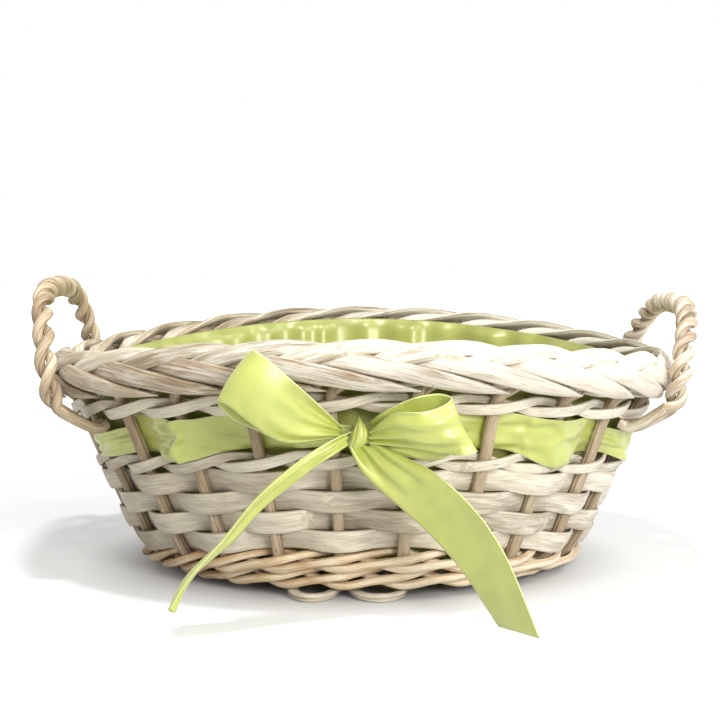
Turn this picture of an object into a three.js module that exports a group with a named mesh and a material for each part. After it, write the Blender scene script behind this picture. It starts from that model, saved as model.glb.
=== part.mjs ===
// Round willow gift basket with a plaited border, two twisted handles, a satin
// lining and a satin ribbon tied in a bow. Millimetres, +Z up. The origin is
// the middle of the base, on the surface that the basket stands on. The bow
// faces -Y and the handles stand at +X and -X.
import * as THREE from "three";

// Stakes, the upright rods that everything else is woven around
const stakeCount = 24;
const stakeDiameter = 4.8;
const stakeTipWidth = 6.6;
const stakeTipThickness = 3.2;
const stakeFootReach = 12;
const stakeTurnDeg = -5;

// The curve of the wall, from the edge of the base up to the border. At the two
// handle ends it starts further in and its rim hangs lower.
const footRadius = 98;
const endFootRadius = 88;
const footHeight = 8.2;
const rimRadius = 143.6;
const rimHeight = 98;
const endSag = 14;

// Woven rows, measured up the wall from the edge of the base
const weaveGap = 0.35;
const waleRodDiameter = 3.8;
const waleStart = 6.55;
const walePitch = 4.5;
const waleCourses = 2;
const waleRodsPerCourse = 3;
const stripHeight = 10.3;
const stripThickness = 1.5;
const stripRows = 4;
const twineHeight = 3.8;
const twineThickness = 1.6;
const bandHeight = 20;

// Plaited border
const plaitRise = 12.2;
const plaitHalfWidth = 6.2;
const plaitHalfHeight = 7.4;
const plaitStrands = 4;
const plaitStrandThickness = 3.4;
const plaitStrandWidth = 6;
const plaitNeckWidth = 3.7;

// Twisted handles
const handleRodDiameter = 5.2;
const handleRodGap = 0.5;
const handleClearance = 1;
const leftHandleReach = 6.5;
const leftHandleRise = 43.7;
const rightHandleReach = 12;
const rightHandleRise = 35.2;

// Base
const baseStickDiameter = 5;
const baseStickShort = 3;
const baseWeaverWidth = 8;
const baseWeaverThickness = 1.2;
const baseWeaverStart = 34.5;
const baseWeaverEnd = 70;
const baseWeaverRise = 4.4;
const footLoopThickness = 1.7;
const footLoopSwell = 3.4;
const footLoopWidth = 4;
const footLoopReach = 5;

// Satin lining, ribbon and bow
const liningThickness = 0.9;
const liningGap = 0.6;
const liningRise = 1.2;
const liningPleat = 0.8;
const ribbonWidth = 25;
const ribbonThickness = 0.8;
const ribbonGap = 0.4;
const knotWidth = 13;
const knotDepth = 12.4;
const knotHeight = 19;

// Facets
const stripStations = 3;
const rodStations = 2;
const rodSides = 5;

const wood = { strip: 0x9f9183, rod: 0xc9a878, plait: 0xcdbfa9, stake: 0xa88d6a };
const satin = 0x9db44f;

const stakeRadius = stakeDiameter / 2;
const stakePitch = (2 * Math.PI) / stakeCount;
const stakeTurn = THREE.MathUtils.degToRad(stakeTurnDeg);
const stakeAngle = (index) => stakeTurn + index * stakePitch;

// Everything is placed by the angle round the basket, 0 at the bow and growing
// towards the right-hand handle, and by a radius and a height.
const around = (angle, radius, height) =>
  new THREE.Vector3(radius * Math.sin(angle), -radius * Math.cos(angle), height);

// How far a place is from the front or back towards a handle end, 0 to 1
const towardsEnd = (angle) => Math.sin(angle) ** 2;

// Shares of the way from the foot to the rim, as radius and height
const frontWallShares = [
  [0, 0], [0.08, 0.008], [0.145, 0.035], [0.2, 0.08], [0.28, 0.16], [0.36, 0.27],
  [0.68, 0.635], [1, 1],
];
const endWallShares = [
  [0, 0], [0.15, 0], [0.27, 0.004], [0.36, 0.03], [0.43, 0.09], [0.5, 0.19],
  [0.75, 0.595], [1, 1],
];
const wallCurve = (shares, startRadius, endHeight) =>
  new THREE.SplineCurve(
    shares.map(
      ([radiusShare, heightShare]) =>
        new THREE.Vector2(
          startRadius + (rimRadius - startRadius) * radiusShare,
          footHeight + (endHeight - footHeight) * heightShare,
        ),
    ),
  );
const frontWall = wallCurve(frontWallShares, footRadius, rimHeight);
const endWall = wallCurve(endWallShares, endFootRadius, rimHeight - endSag);
const wallLength = frontWall.getLength();

// A place on the wall: so far up it, and so far out from its middle surface
const onWall = (angle, up, out) => {
  const share = THREE.MathUtils.clamp(up / wallLength, 0, 1);
  const weight = towardsEnd(angle);
  const point = frontWall.getPointAt(share).lerp(endWall.getPointAt(share), weight);
  const along = frontWall.getTangentAt(share).lerp(endWall.getTangentAt(share), weight);
  along.normalize();
  const beyond = up - share * wallLength;
  const radius = point.x + along.x * beyond + along.y * out;
  const height = point.y + along.y * beyond - along.x * out;
  return around(angle, radius, height);
};

// Cross-sections, as shares of the half thickness and the half width
const roundSection = (sides) => {
  const reach = sides % 2 === 0 ? Math.cos(Math.PI / sides) : 1;
  return Array.from({ length: sides }, (_, i) => {
    const turn = (2 * Math.PI * (i + 1 / 2)) / sides;
    return [Math.cos(turn) / reach, Math.sin(turn)];
  });
};
const stripSection = [[1, 1], [-1, 1], [-1, -1], [1, -1]];

// One closed solid from rows of points that all have the same number of points
const solidFromRows = (rows, closed) => {
  const sides = rows[0].length;
  const positions = rows.flat().flatMap((point) => point.toArray());
  const index = [];
  const spans = closed ? rows.length : rows.length - 1;
  for (let row = 0; row < spans; row += 1) {
    const next = (row + 1) % rows.length;
    for (let side = 0; side < sides; side += 1) {
      const other = (side + 1) % sides;
      const a = row * sides + side;
      const b = row * sides + other;
      const c = next * sides + other;
      const d = next * sides + side;
      index.push(a, b, c, a, c, d);
    }
  }
  if (!closed) {
    const last = (rows.length - 1) * sides;
    for (let side = 1; side < sides - 1; side += 1) {
      index.push(0, side + 1, side);
      index.push(last, last + side, last + side + 1);
    }
  }
  return outwardGeometry(positions, index);
};

// Turns the faces round if they point inwards
const outwardGeometry = (positions, index) => {
  const corner = (i) => new THREE.Vector3().fromArray(positions, 3 * i);
  let volume = 0;
  for (let i = 0; i < index.length; i += 3) {
    const [a, b, c] = [corner(index[i]), corner(index[i + 1]), corner(index[i + 2])];
    volume += a.dot(b.cross(c));
  }
  if (volume < 0) {
    index.reverse();
  }
  const geometry = new THREE.BufferGeometry();
  geometry.setAttribute("position", new THREE.Float32BufferAttribute(positions, 3));
  geometry.setIndex(index);
  geometry.computeVertexNormals();
  return geometry;
};

// A rod or strip along stations. Each has its middle point, the direction of its
// thickness, and its half thickness and half width.
const sweep = (stations, section, closed = false) => {
  const count = stations.length;
  const rows = stations.map((station, i) => {
    const before = stations[closed ? (i - 1 + count) % count : Math.max(i - 1, 0)];
    const after = stations[closed ? (i + 1) % count : Math.min(i + 1, count - 1)];
    const along = after.middle.clone().sub(before.middle).normalize();
    const out = station.out.clone().addScaledVector(along, -station.out.dot(along));
    out.normalize();
    const across = along.clone().cross(out);
    return section.map(([outShare, acrossShare]) =>
      station.middle
        .clone()
        .addScaledVector(out, outShare * station.halfThickness)
        .addScaledVector(across, acrossShare * station.halfWidth),
    );
  });
  return solidFromRows(rows, closed);
};

const group = new THREE.Group();
const addPiece = (name, geometry, color, roughness) => {
  const material = new THREE.MeshStandardMaterial({ color, roughness, metalness: 0 });
  const mesh = new THREE.Mesh(geometry, material);
  mesh.name = name;
  group.add(mesh);
  return mesh;
};
const twoDigits = (number) => String(number).padStart(2, "0");

// Direction straight out of the wall at a place on it
const wallOut = (angle, up) =>
  onWall(angle, up, stakeRadius).sub(onWall(angle, up, 0)).normalize();

// Places up the wall where each part of the weave lies
const twineSwingShare = 0.65;
const waleRows = waleCourses * (waleRodsPerCourse - 1);
const waleEnd = waleStart + walePitch * (waleRows - 1) + waleRodDiameter / 2;
const stripStart = waleEnd + 2 * weaveGap;
const stripPitch = stripHeight + weaveGap;
const twineSwing = (twineHeight + weaveGap) * twineSwingShare;
const twineTotal = 2 * twineSwing + twineHeight;
const upperTwine = stripStart + stripRows * stripPitch + twineTotal / 2;
const bandStart = upperTwine + twineTotal / 2;
const bandEnd = bandStart + bandHeight;
const underTwine = bandEnd + twineTotal / 2;
const weaveTop = underTwine + twineTotal / 2;

// The border's middle line, straight on from the top of the weave
const borderMiddle = (angle) => {
  const place = onWall(angle, weaveTop + plaitRise, 0);
  return { radius: Math.hypot(place.x, place.y), height: place.z };
};

// A place in the border: a turn round its own middle line, and a share of its size
const onPlait = (angle, turn, share) => {
  const { radius, height } = borderMiddle(angle);
  return around(
    angle,
    radius + plaitHalfWidth * share * Math.cos(turn),
    height + plaitHalfHeight * share * Math.sin(turn),
  );
};

// A ring woven round the stakes, from its offset at a count of stake pitches
const wovenRing = (section, perStake, stationAt) => {
  const stations = [];
  const first = perStake % 2 === 0 ? 0 : 1 / 2;
  for (let i = 0; i < stakeCount * perStake; i += 1) {
    const pitches = (i + first) / perStake;
    stations.push(stationAt(pitches, stakeAngle(pitches)));
  }
  return sweep(stations, section, true);
};

// Flat strips, over one stake and under the next, each row opposite to the last
const stripOut = stakeRadius + weaveGap + stripThickness / 2;
const overUnder = (pitches) => {
  const nearest = Math.round(pitches);
  const away = Math.abs(pitches - nearest);
  const side = nearest % 2 === 0 ? 1 : -1;
  return side * THREE.MathUtils.clamp((1 / 2 - away) * stripStations, 0, 1);
};
for (let row = 0; row < stripRows; row += 1) {
  const up = stripStart + stripPitch * (row + 1 / 2);
  const first = row % 2 === 0 ? 1 : -1;
  const geometry = wovenRing(stripSection, stripStations, (pitches, angle) => ({
    middle: onWall(angle, up, first * stripOut * overUnder(pitches)),
    out: wallOut(angle, up),
    halfThickness: stripThickness / 2,
    halfWidth: stripHeight / 2,
  }));
  addPiece(`flat_weaver_${row + 1}`, geometry, wood.strip, 0.85);
}

// Two courses of waling, each of three round rods. A rod passes outside two stakes,
// one row higher at the second, and inside the third. At each half pitch the table
// gives the share of the way out and the row.
const waleOut = stakeRadius + 2.5 * weaveGap + waleRodDiameter / 2;
const waleShares = [
  [-1, 0.5], [0, 0], [1, 0], [1, 0.5], [1, 1], [0, 1],
];
for (let course = 0; course < waleCourses; course += 1) {
  for (let rod = 0; rod < waleRodsPerCourse; rod += 1) {
    const geometry = wovenRing(roundSection(rodSides), rodStations, (pitches, angle) => {
      const passed = (pitches + stakeCount - rod - course) % waleRodsPerCourse;
      const [outShare, row] = waleShares[passed * rodStations];
      const up = waleStart + walePitch * ((waleRodsPerCourse - 1) * course + row);
      return {
        middle: onWall(angle, up, waleOut * outShare),
        out: wallOut(angle, up),
        halfThickness: waleRodDiameter / 2,
        halfWidth: waleRodDiameter / 2,
      };
    });
    addPiece(`wale_rod_${waleRodsPerCourse * course + rod + 1}`, geometry, wood.rod, 0.7);
  }
}

// Pairs of strands that twist round each other and pinch a stake at each half turn
const twineOut = stakeRadius + weaveGap + twineThickness / 2;
const twineRound = (name, up) => {
  for (let strand = 0; strand < 2; strand += 1) {
    const geometry = wovenRing(stripSection, rodStations, (pitches, angle) => {
      const turn = Math.PI * (pitches + strand);
      return {
        middle: onWall(angle, up + twineSwing * Math.sin(turn), twineOut * Math.cos(turn)),
        out: wallOut(angle, up),
        halfThickness: twineThickness / 2,
        halfWidth: twineHeight / 2,
      };
    });
    addPiece(`${name}_${strand + 1}`, geometry, wood.strip, 0.85);
  }
};
twineRound("upper_twine", upperTwine);
twineRound("under_border_twine", underTwine);

// Stakes: up the wall, through the border, and down its outer face to the right.
// The last part is given by how many stakes it has passed, the turn round the
// border's middle line in degrees, and shares of the border's and the tip's size.
const stakeTipShares = [
  [0.12, -97, 1.05, 0.62],
  [0.3, -75, 0.32, 0.56],
  [0.55, 75, 0.16, 0.52],
  [0.67, 58, 0.52, 0.5],
  [0.8, 52, 1.08, 0.54],
  [1.02, 42, 1.6, 0.8],
  [1.4, 23, 1.62, 0.98],
  [1.9, -3, 1.62, 1],
  [2.4, -29, 1.6, 0.9],
  [2.95, -55, 1.52, 0.45],
];
const stakeRiseShares = [0, 0.09, 0.17, 0.22, 0.27, 0.36, 0.68, 1];
for (let index = 0; index < stakeCount; index += 1) {
  const angle = stakeAngle(index);
  const foot = onWall(angle, 0, 0);
  const inward = around(angle, -stakeFootReach, 0);
  const round = { halfThickness: stakeRadius, halfWidth: stakeRadius };
  const stations = [
    { middle: foot.clone().add(inward), out: new THREE.Vector3(0, 0, -1), ...round },
  ];
  for (const rise of stakeRiseShares) {
    const up = rise * weaveTop;
    stations.push({ middle: onWall(angle, up, 0), out: wallOut(angle, up), ...round });
  }
  for (const [passed, turnDeg, share, sizeShare] of stakeTipShares) {
    const turn = THREE.MathUtils.degToRad(turnDeg);
    const place = angle + passed * stakePitch;
    const flat = THREE.MathUtils.smoothstep(passed, 0.1, 1);
    const thick = THREE.MathUtils.lerp(stakeDiameter, stakeTipThickness, flat) / 2;
    const wide = THREE.MathUtils.lerp(stakeDiameter, stakeTipWidth * sizeShare, flat) / 2;
    const facing = passed < 1 / 2 ? Math.PI + turn : turn;
    stations.push({
      middle: onPlait(place, turn, share),
      out: around(place, Math.cos(facing), Math.sin(facing)),
      halfThickness: thick,
      halfWidth: wide,
    });
  }
  const geometry = sweep(stations, roundSection(rodSides));
  addPiece(`stake_${twoDigits(index + 1)}`, geometry, wood.stake, 0.75);
}

// Border strands: four rods wound round the rim, wide on the top and the inner side
const plaitFirstTurn = THREE.MathUtils.degToRad(27.8);
const plaitStationsPerStake = 2;
for (let strand = 0; strand < plaitStrands; strand += 1) {
  const stations = [];
  for (let i = 0; i < stakeCount * plaitStationsPerStake; i += 1) {
    const pitches = i / plaitStationsPerStake;
    const angle = stakeAngle(pitches);
    const turn = plaitFirstTurn + ((pitches - strand) * 2 * Math.PI) / plaitStrands;
    const bare = (1 + Math.cos(turn - THREE.MathUtils.degToRad(140))) / 2;
    const width = THREE.MathUtils.lerp(
      plaitNeckWidth,
      plaitStrandWidth,
      THREE.MathUtils.smoothstep(bare, 0.25, 0.75),
    );
    stations.push({
      middle: onPlait(angle, turn, 1),
      out: around(angle, Math.cos(turn), Math.sin(turn)),
      halfThickness: plaitStrandThickness / 2,
      halfWidth: width / 2,
    });
  }
  const geometry = sweep(stations, roundSection(rodSides), true);
  addPiece(`border_strand_${strand + 1}`, geometry, wood.plait, 0.75);
}

// Base: two sticks laid over three others, then fanned out like spokes
const baseStickFlat = baseStickDiameter / 2;
const baseTurn = stakeTurn + stakePitch / 2;
const spokes = 10;
const spokeTurn = (2 * Math.PI) / spokes;
const slathStep = baseStickDiameter + weaveGap;
const slathHalf = 2.4 * slathStep;
const fanEnd = baseWeaverStart - baseWeaverWidth / 2;

// A stick ends just short of the base's edge, or in front of the stake's foot it meets
const besideFoot = (stakeDiameter + baseStickDiameter) / 2 + weaveGap;
const stickReach = (angle) => {
  const edge = THREE.MathUtils.lerp(footRadius, endFootRadius, towardsEnd(angle));
  const pitches = (angle - stakeTurn) / stakePitch;
  const away = Math.abs(pitches - Math.round(pitches)) * stakePitch;
  const meets = away * (edge - stakeFootReach) < besideFoot;
  return edge - (meets ? stakeFootReach + weaveGap : baseStickShort);
};
const spokeHeight = (angle, radius) => {
  const share = (radius - baseWeaverStart) / (stickReach(angle) - baseWeaverStart);
  const low = baseWeaverRise + baseWeaverThickness;
  return THREE.MathUtils.lerp(low, footHeight, THREE.MathUtils.clamp(share, 0, 1));
};
const stickNames = ["first", "second", "third"];
const stickSides = [[-1, 0, 1], [-1 / 2, 1 / 2]];
for (const layer of [0, 1]) {
  for (const [number, side] of stickSides[layer].entries()) {
    const crossHeight = baseStickFlat + layer * slathStep;
    const heading = baseTurn + (layer * Math.PI) / 2;
    const spoke = (end, radius) => {
      const angle = heading + (end > 0 ? side * spokeTurn : Math.PI - side * spokeTurn);
      const reach = radius || stickReach(angle);
      return around(angle, reach, spokeHeight(angle, reach));
    };
    const across = around(heading + Math.PI / 2, side * slathStep, crossHeight);
    const crossing = (end) => across.clone().add(around(heading, end * slathHalf, 0));
    const stations = [
      spoke(-1),
      spoke(-1, fanEnd),
      crossing(-1),
      crossing(1),
      spoke(1, fanEnd),
      spoke(1),
    ].map((middle) => ({
      middle,
      out: new THREE.Vector3(0, 0, -1),
      halfThickness: baseStickFlat,
      halfWidth: baseStickFlat,
    }));
    const name = `base_stick_${layer === 0 ? "lower" : "upper"}_${stickNames[number]}`;
    addPiece(name, sweep(stations, roundSection(6)), wood.rod, 0.75);
  }
}

// Base weaver: one flat strip wound outwards, over and under the spokes. It passes two
// spokes on the same side once a round, so that the next round lies the other way.
const baseWeaverStep = baseWeaverWidth + 2 * weaveGap;
const weaverSide = (spoke) => ((spoke + Math.floor(spoke / spokes)) % 2 === 0 ? 1 : -1);
const weaverRounds = (baseWeaverEnd - baseWeaverStart) / baseWeaverStep;
const weaverStations = [];
for (let i = 0; i <= Math.floor(weaverRounds * spokes) * 2; i += 1) {
  const passed = i / 2;
  const radius = baseWeaverStart + (baseWeaverStep * passed) / spokes;
  const side = (weaverSide(Math.floor(passed)) + weaverSide(Math.ceil(passed))) / 2;
  const angle = baseTurn + passed * spokeTurn;
  weaverStations.push({
    middle: around(angle, radius, spokeHeight(angle, radius) + side * baseWeaverRise),
    out: new THREE.Vector3(0, 0, 1),
    halfThickness: baseWeaverThickness / 2,
    halfWidth: baseWeaverWidth / 2,
  });
}
addPiece("base_weaver", sweep(weaverStations, stripSection), wood.strip, 0.85);

// Foot strand: a grey strand that runs under three stakes' feet and bulges out past the
// first rod on the ground between them. Shares of the way between two stakes, of the
// way out, of the way up and of the thickness.
const footLoopShares = [
  [0, 0.1, 1, 0], [0.12, 0.3, 0.25, 0], [0.24, 0.68, 0, 0], [0.36, 0.92, 0, 0.6],
  [0.5, 1, 0, 1], [0.64, 0.92, 0, 0.6], [0.76, 0.68, 0, 0], [0.88, 0.3, 0.25, 0],
];
const footLoopInside = footRadius - stakeFootReach / 2;
const footPlace = (stake, [wayShare, outShare, upShare, swellShare]) => {
  const angle = stakeAngle(stake + wayShare);
  const rod = onWall(angle, waleStart, waleOut);
  const bulgeRadius = Math.hypot(rod.x, rod.y) + footLoopReach;
  const thick = THREE.MathUtils.lerp(footLoopThickness, footLoopSwell, swellShare) / 2;
  const under = footHeight - stakeRadius - weaveGap - thick;
  const height = THREE.MathUtils.lerp(thick, under, upShare);
  return {
    middle: around(angle, THREE.MathUtils.lerp(footLoopInside, bulgeRadius, outShare), height),
    out: new THREE.Vector3(0, 0, -1),
    halfThickness: thick,
    halfWidth: footLoopWidth / 2,
  };
};
const footStations = [-1, 0].flatMap((stake) =>
  footLoopShares.map((shares) => footPlace(stake, shares)),
);
footStations.push(footPlace(1, footLoopShares[0]));
addPiece("foot_strand", sweep(footStations, roundSection(6)), wood.strip, 0.85);

// Handles: two rods twisted into a rope. Each leg runs down the outside of the
// border, hooks under it between two stakes and ends in the open band.
const ropeRadius = handleRodDiameter + handleRodGap / 2;
const borderReachShare = 1.62;
const legOut = stakeTipThickness / 2 + handleClearance + ropeRadius;
const legShare = borderReachShare + legOut / plaitHalfWidth;
const legUnder = bandEnd - handleRodDiameter / 2 - weaveGap;
const legShares = [[-62, 0.93], [-34, 1], [-2, 1]];
const archShares = [[0.055, 0.35, 0.45], [0.2, 0.8, 0.88], [0.5, 1, 1]];
const handlePath = (nearDeg, farDeg, apexReach, apexRise) => {
  const leg = (angle) => [
    onWall(angle, legUnder, 0),
    onWall(angle, legUnder, stakeDiameter),
    ...legShares.map(([turnDeg, share]) =>
      onPlait(angle, THREE.MathUtils.degToRad(turnDeg), legShare * share),
    ),
  ];
  const near = leg(THREE.MathUtils.degToRad(nearDeg));
  const far = leg(THREE.MathUtils.degToRad(farDeg));
  const side = Math.sign(nearDeg);
  const border = borderMiddle(Math.PI / 2);
  const apexX = side * (border.radius + apexReach);
  const apexZ = border.height + apexRise;
  const arch = (share, lean, rise) => {
    const start = near.at(-1);
    const end = far.at(-1);
    const point = start.clone().lerp(end, share);
    point.x = THREE.MathUtils.lerp(point.x, apexX, lean);
    point.z = THREE.MathUtils.lerp(point.z, apexZ, rise);
    return point;
  };
  const up = archShares.map(([share, lean, rise]) => arch(share, lean, rise));
  const down = archShares.slice(0, -1).map(([share, lean, rise]) => arch(1 - share, lean, rise));
  return new THREE.CatmullRomCurve3([...near, ...up, ...down.reverse(), ...far.reverse()]);
};

// The direction round the basket at a place
const roundwards = (point) => new THREE.Vector3(-point.y, point.x, 0).normalize();

// Two rods side by side at both ends and twisted between them
const twistedRods = (path, turns, stationsPerTurn) => {
  const count = Math.round(turns * stationsPerTurn / 0.8);
  const points = path.getSpacedPoints(count);
  const tangents = points.map((_, i) => path.getTangentAt(i / count));
  const normals = [roundwards(points[0])];
  for (let i = 1; i <= count; i += 1) {
    const turn = new THREE.Quaternion().setFromUnitVectors(tangents[i - 1], tangents[i]);
    normals.push(normals[i - 1].clone().applyQuaternion(turn));
  }
  const last = normals[count];
  const goal = roundwards(points[count]);
  const lag = Math.atan2(last.clone().cross(goal).dot(tangents[count]), last.dot(goal));
  return [0, 1].map((rod) =>
    points.map((point, i) => {
      const share = i / count;
      const twist = THREE.MathUtils.clamp((share - 0.1) / 0.8, 0, 1);
      const turn = 2 * Math.PI * turns * twist + lag * share + Math.PI * rod;
      const out = normals[i].clone().applyAxisAngle(tangents[i], turn);
      return {
        middle: point.clone().addScaledVector(out, (handleRodDiameter + handleRodGap) / 2),
        out,
        halfThickness: handleRodDiameter / 2,
        halfWidth: handleRodDiameter / 2,
      };
    }),
  );
};
const handles = [
  ["handle_left", handlePath(-61, -117.5, leftHandleReach, leftHandleRise), 8],
  ["handle_right", handlePath(64, 118, rightHandleReach, rightHandleRise), 10],
];
for (const [name, path, turns] of handles) {
  twistedRods(path, turns, 6).forEach((stations, rod) => {
    const geometry = sweep(stations, roundSection(rodSides));
    addPiece(`${name}_rod_${rod + 1}`, geometry, wood.rod, 0.7);
  });
}

// Lining: a thin satin bowl inside the weave, pleated below the border. Its outer
// side is followed up to the hem and its inner side back down.
const liningCount = 2 * stakeCount;
const waleInside = waleOut + waleRodDiameter / 2 + liningGap;
const weaveInside = stripOut + stripThickness / 2 + liningGap;
const liningRows = [
  [0.02, waleInside, 0],
  [0.11, waleInside, 0],
  [0.198, waleInside, 0],
  [0.272, weaveInside, 0],
  [0.62, weaveInside, 0.4],
  [0.79, weaveInside, 1],
  [0.96, weaveInside, 0.6],
];
const plaitInside = plaitHalfWidth + plaitStrandThickness / 2 + liningGap;
const liningRing = (depth) => {
  const rings = liningRows.map(([upShare, inside, pleatShare]) =>
    Array.from({ length: liningCount }, (_, i) => {
      const angle = stakeAngle(i / 2);
      const pleat = i % 2 === 0 ? 0 : liningPleat * pleatShare;
      return onWall(angle, upShare * weaveTop, -inside - depth - pleat);
    }),
  );
  rings.push(
    Array.from({ length: liningCount }, (_, i) => {
      const angle = stakeAngle(i / 2);
      const pleat = i % 2 === 0 ? 0 : liningPleat;
      const { radius, height } = borderMiddle(angle);
      return around(angle, radius - plaitInside - depth - pleat, height + liningRise);
    }),
  );
  return rings;
};
const floorTop = 2 * slathStep + liningGap;
const liningFloor = Array.from({ length: liningCount }, (_, i) =>
  around(stakeAngle(i / 2), baseWeaverEnd, footHeight + baseWeaverRise + 2 * liningGap),
);
const lift = new THREE.Vector3(0, 0, liningThickness);
const liningOuter = [liningFloor, ...liningRing(0)];
const liningTop = liningFloor.map((point) => point.clone().add(lift));
const liningInner = [liningTop, ...liningRing(liningThickness)];

// A closed bowl from rings, with a point at the middle of its first and last ring
const bowlFromRings = (rings, firstPoint, lastPoint) => {
  const count = rings[0].length;
  const positions = rings.flat().flatMap((point) => point.toArray());
  const first = positions.length / 3;
  positions.push(...firstPoint.toArray(), ...lastPoint.toArray());
  const index = [];
  for (let i = 0; i < count; i += 1) {
    const next = (i + 1) % count;
    for (let ring = 0; ring < rings.length - 1; ring += 1) {
      const a = ring * count + i;
      const b = ring * count + next;
      index.push(a, b, b + count, a, b + count, a + count);
    }
    const last = (rings.length - 1) * count;
    index.push(first, next, i);
    index.push(first + 1, last + i, last + next);
  }
  return outwardGeometry(positions, index);
};
const liningGeometry = bowlFromRings(
  [...liningOuter, ...liningInner.reverse()],
  new THREE.Vector3(0, 0, floorTop),
  new THREE.Vector3(0, 0, floorTop + liningThickness),
);
addPiece("lining", liningGeometry, satin, 0.4);

// Ribbon band: satin woven through the stakes in the open band, both ends at the
// knot. It lies behind these stakes and in front of the others, and its upper
// edge dips where a handle leg hooks in.
const behindStakes = [2, 4, 6, 8, 10, 12, 13, 15, 17, 19, 21, 23];
const ribbonOut = stakeRadius + ribbonGap + ribbonThickness / 2;
const ribbonSide = (pitches) => {
  const nearest = Math.round(pitches);
  const away = Math.abs(pitches - nearest);
  const here = behindStakes.includes(nearest) ? -1 : 1;
  const next = behindStakes.includes(nearest + Math.sign(pitches - nearest)) ? -1 : 1;
  const share = THREE.MathUtils.clamp((1 / 2 - away) * stripStations, 0, 1);
  return share * here + (1 - share) * (here + next) / 2;
};
const legDegs = [64, 118, 360 - 61, 360 - 117.5];
const legDip = handleRodDiameter + 2 * ribbonGap;
const dipReachDeg = 13;
const ribbonFirstShare = 0.33;
const ribbonLastShare = 24.27;
const ribbonPinchShare = 1.1;
const ribbonStations = [];
const ribbonSteps = Math.round((ribbonLastShare - ribbonFirstShare) * stripStations);
for (let i = 0; i <= ribbonSteps; i += 1) {
  const pitches = THREE.MathUtils.lerp(ribbonFirstShare, ribbonLastShare, i / ribbonSteps);
  const angle = stakeAngle(pitches);
  const angleDeg = THREE.MathUtils.radToDeg(angle);
  const legAway = Math.min(...legDegs.map((deg) => Math.abs(deg - angleDeg)));
  const dip = legDip * (1 - THREE.MathUtils.smoothstep(legAway, dipReachDeg / 2, dipReachDeg));
  const knotAway = Math.min(pitches - ribbonFirstShare, ribbonLastShare - pitches);
  const pinch = THREE.MathUtils.smoothstep(knotAway, 0, ribbonPinchShare);
  const full = bandHeight - 2 * ribbonGap;
  const height = THREE.MathUtils.lerp(knotHeight / 2, full, pinch) - dip;
  const lift = ((1 - pinch) * (bandHeight - knotHeight / 2)) / 2;
  const up = bandStart + ribbonGap + height / 2 + lift;
  ribbonStations.push({
    middle: onWall(angle, up, ribbonOut * ribbonSide(pitches)),
    out: wallOut(angle, up),
    halfThickness: ribbonThickness / 2,
    halfWidth: height / 2,
  });
}
addPiece("ribbon_band", sweep(ribbonStations, stripSection), satin, 0.35);

// Bow: the knot stands in front of the band, and everything else is placed from
// its middle, in shares of the ribbon's width
const knotTurnDeg = -0.5;
const knotAngle = THREE.MathUtils.degToRad(knotTurnDeg);
const knotUp = (bandStart + bandEnd) / 2 + ribbonWidth * 0.1;
const knotOut = ribbonOut + ribbonThickness / 2 + weaveGap + knotDepth / 2;
const knotMiddle = onWall(knotAngle, knotUp, knotOut);
const knotGeometry = new THREE.SphereGeometry(1 / 2, 12, 8);
knotGeometry.scale(knotWidth, knotDepth, knotHeight);
knotGeometry.translate(knotMiddle.x, knotMiddle.y, knotMiddle.z);
addPiece("bow_knot", knotGeometry, satin, 0.35);

// A length of ribbon between two edges. Their places are shares of the ribbon's
// width, except that a hanging edge's drop is a share of the way to the floor.
const ribbonLength = (edgeShares, steps, hanging) => {
  const rise = hanging ? knotMiddle.z - ribbonThickness : ribbonWidth;
  const size = new THREE.Vector3(ribbonWidth, ribbonWidth, rise);
  const [first, second] = edgeShares.map(
    (shares) =>
      new THREE.CatmullRomCurve3(
        shares.map(([x, y, z]) => new THREE.Vector3(x, y, z).multiply(size).add(knotMiddle)),
      ),
  );
  const rows = [];
  for (let i = 0; i <= steps; i += 1) {
    const share = i / steps;
    const one = first.getPoint(share);
    const other = second.getPoint(share);
    const along = first.getTangent(share).add(second.getTangent(share));
    const out = other.clone().sub(one).cross(along).setLength(ribbonThickness / 2);
    rows.push([
      one.clone().add(out),
      one.clone().sub(out),
      other.clone().sub(out),
      other.clone().add(out),
    ]);
  }
  return solidFromRows(rows, false);
};

// Shares across, towards the front and up; the upper edge comes first
const bowShares = {
  bow_loop_left: [
    [
      [-0.275, -0.02, 0.2], [-0.62, -0.38, 0.5], [-1.0, -0.46, 0.88], [-1.66, -0.5, 1.38],
      [-1.8, -0.67, 1.47], [-1.66, -0.85, 1.38], [-1.15, -0.8, 0.96], [-0.7, -0.5, 0.54],
      [-0.28, -0.2, 0.2],
    ],
    [
      [-0.275, -0.02, -0.02], [-0.8, -0.34, 0.04], [-1.4, -0.42, 0.2], [-2.22, -0.5, 0.52],
      [-2.4, -0.67, 0.56], [-2.18, -0.85, 0.42], [-1.5, -0.8, 0.0], [-0.85, -0.52, -0.06],
      [-0.28, -0.2, 0.0],
    ],
  ],
  bow_loop_right: [
    [
      [0.275, -0.02, 0.22], [0.55, -0.33, 0.5], [0.98, -0.44, 0.7], [1.43, -0.5, 0.76],
      [1.58, -0.65, 0.7], [1.42, -0.82, 0.57], [1.02, -0.76, 0.46], [0.62, -0.5, 0.4],
      [0.28, -0.2, 0.2],
    ],
    [
      [0.275, -0.02, -0.12], [0.72, -0.3, -0.16], [1.2, -0.38, -0.2], [1.85, -0.48, -0.2],
      [2.04, -0.65, -0.26], [1.8, -0.82, -0.34], [1.3, -0.76, -0.38], [0.75, -0.48, -0.26],
      [0.28, -0.2, -0.12],
    ],
  ],
};
for (const [name, edges] of Object.entries(bowShares)) {
  addPiece(name, ribbonLength(edges, 18, false), satin, 0.35);
}
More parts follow.
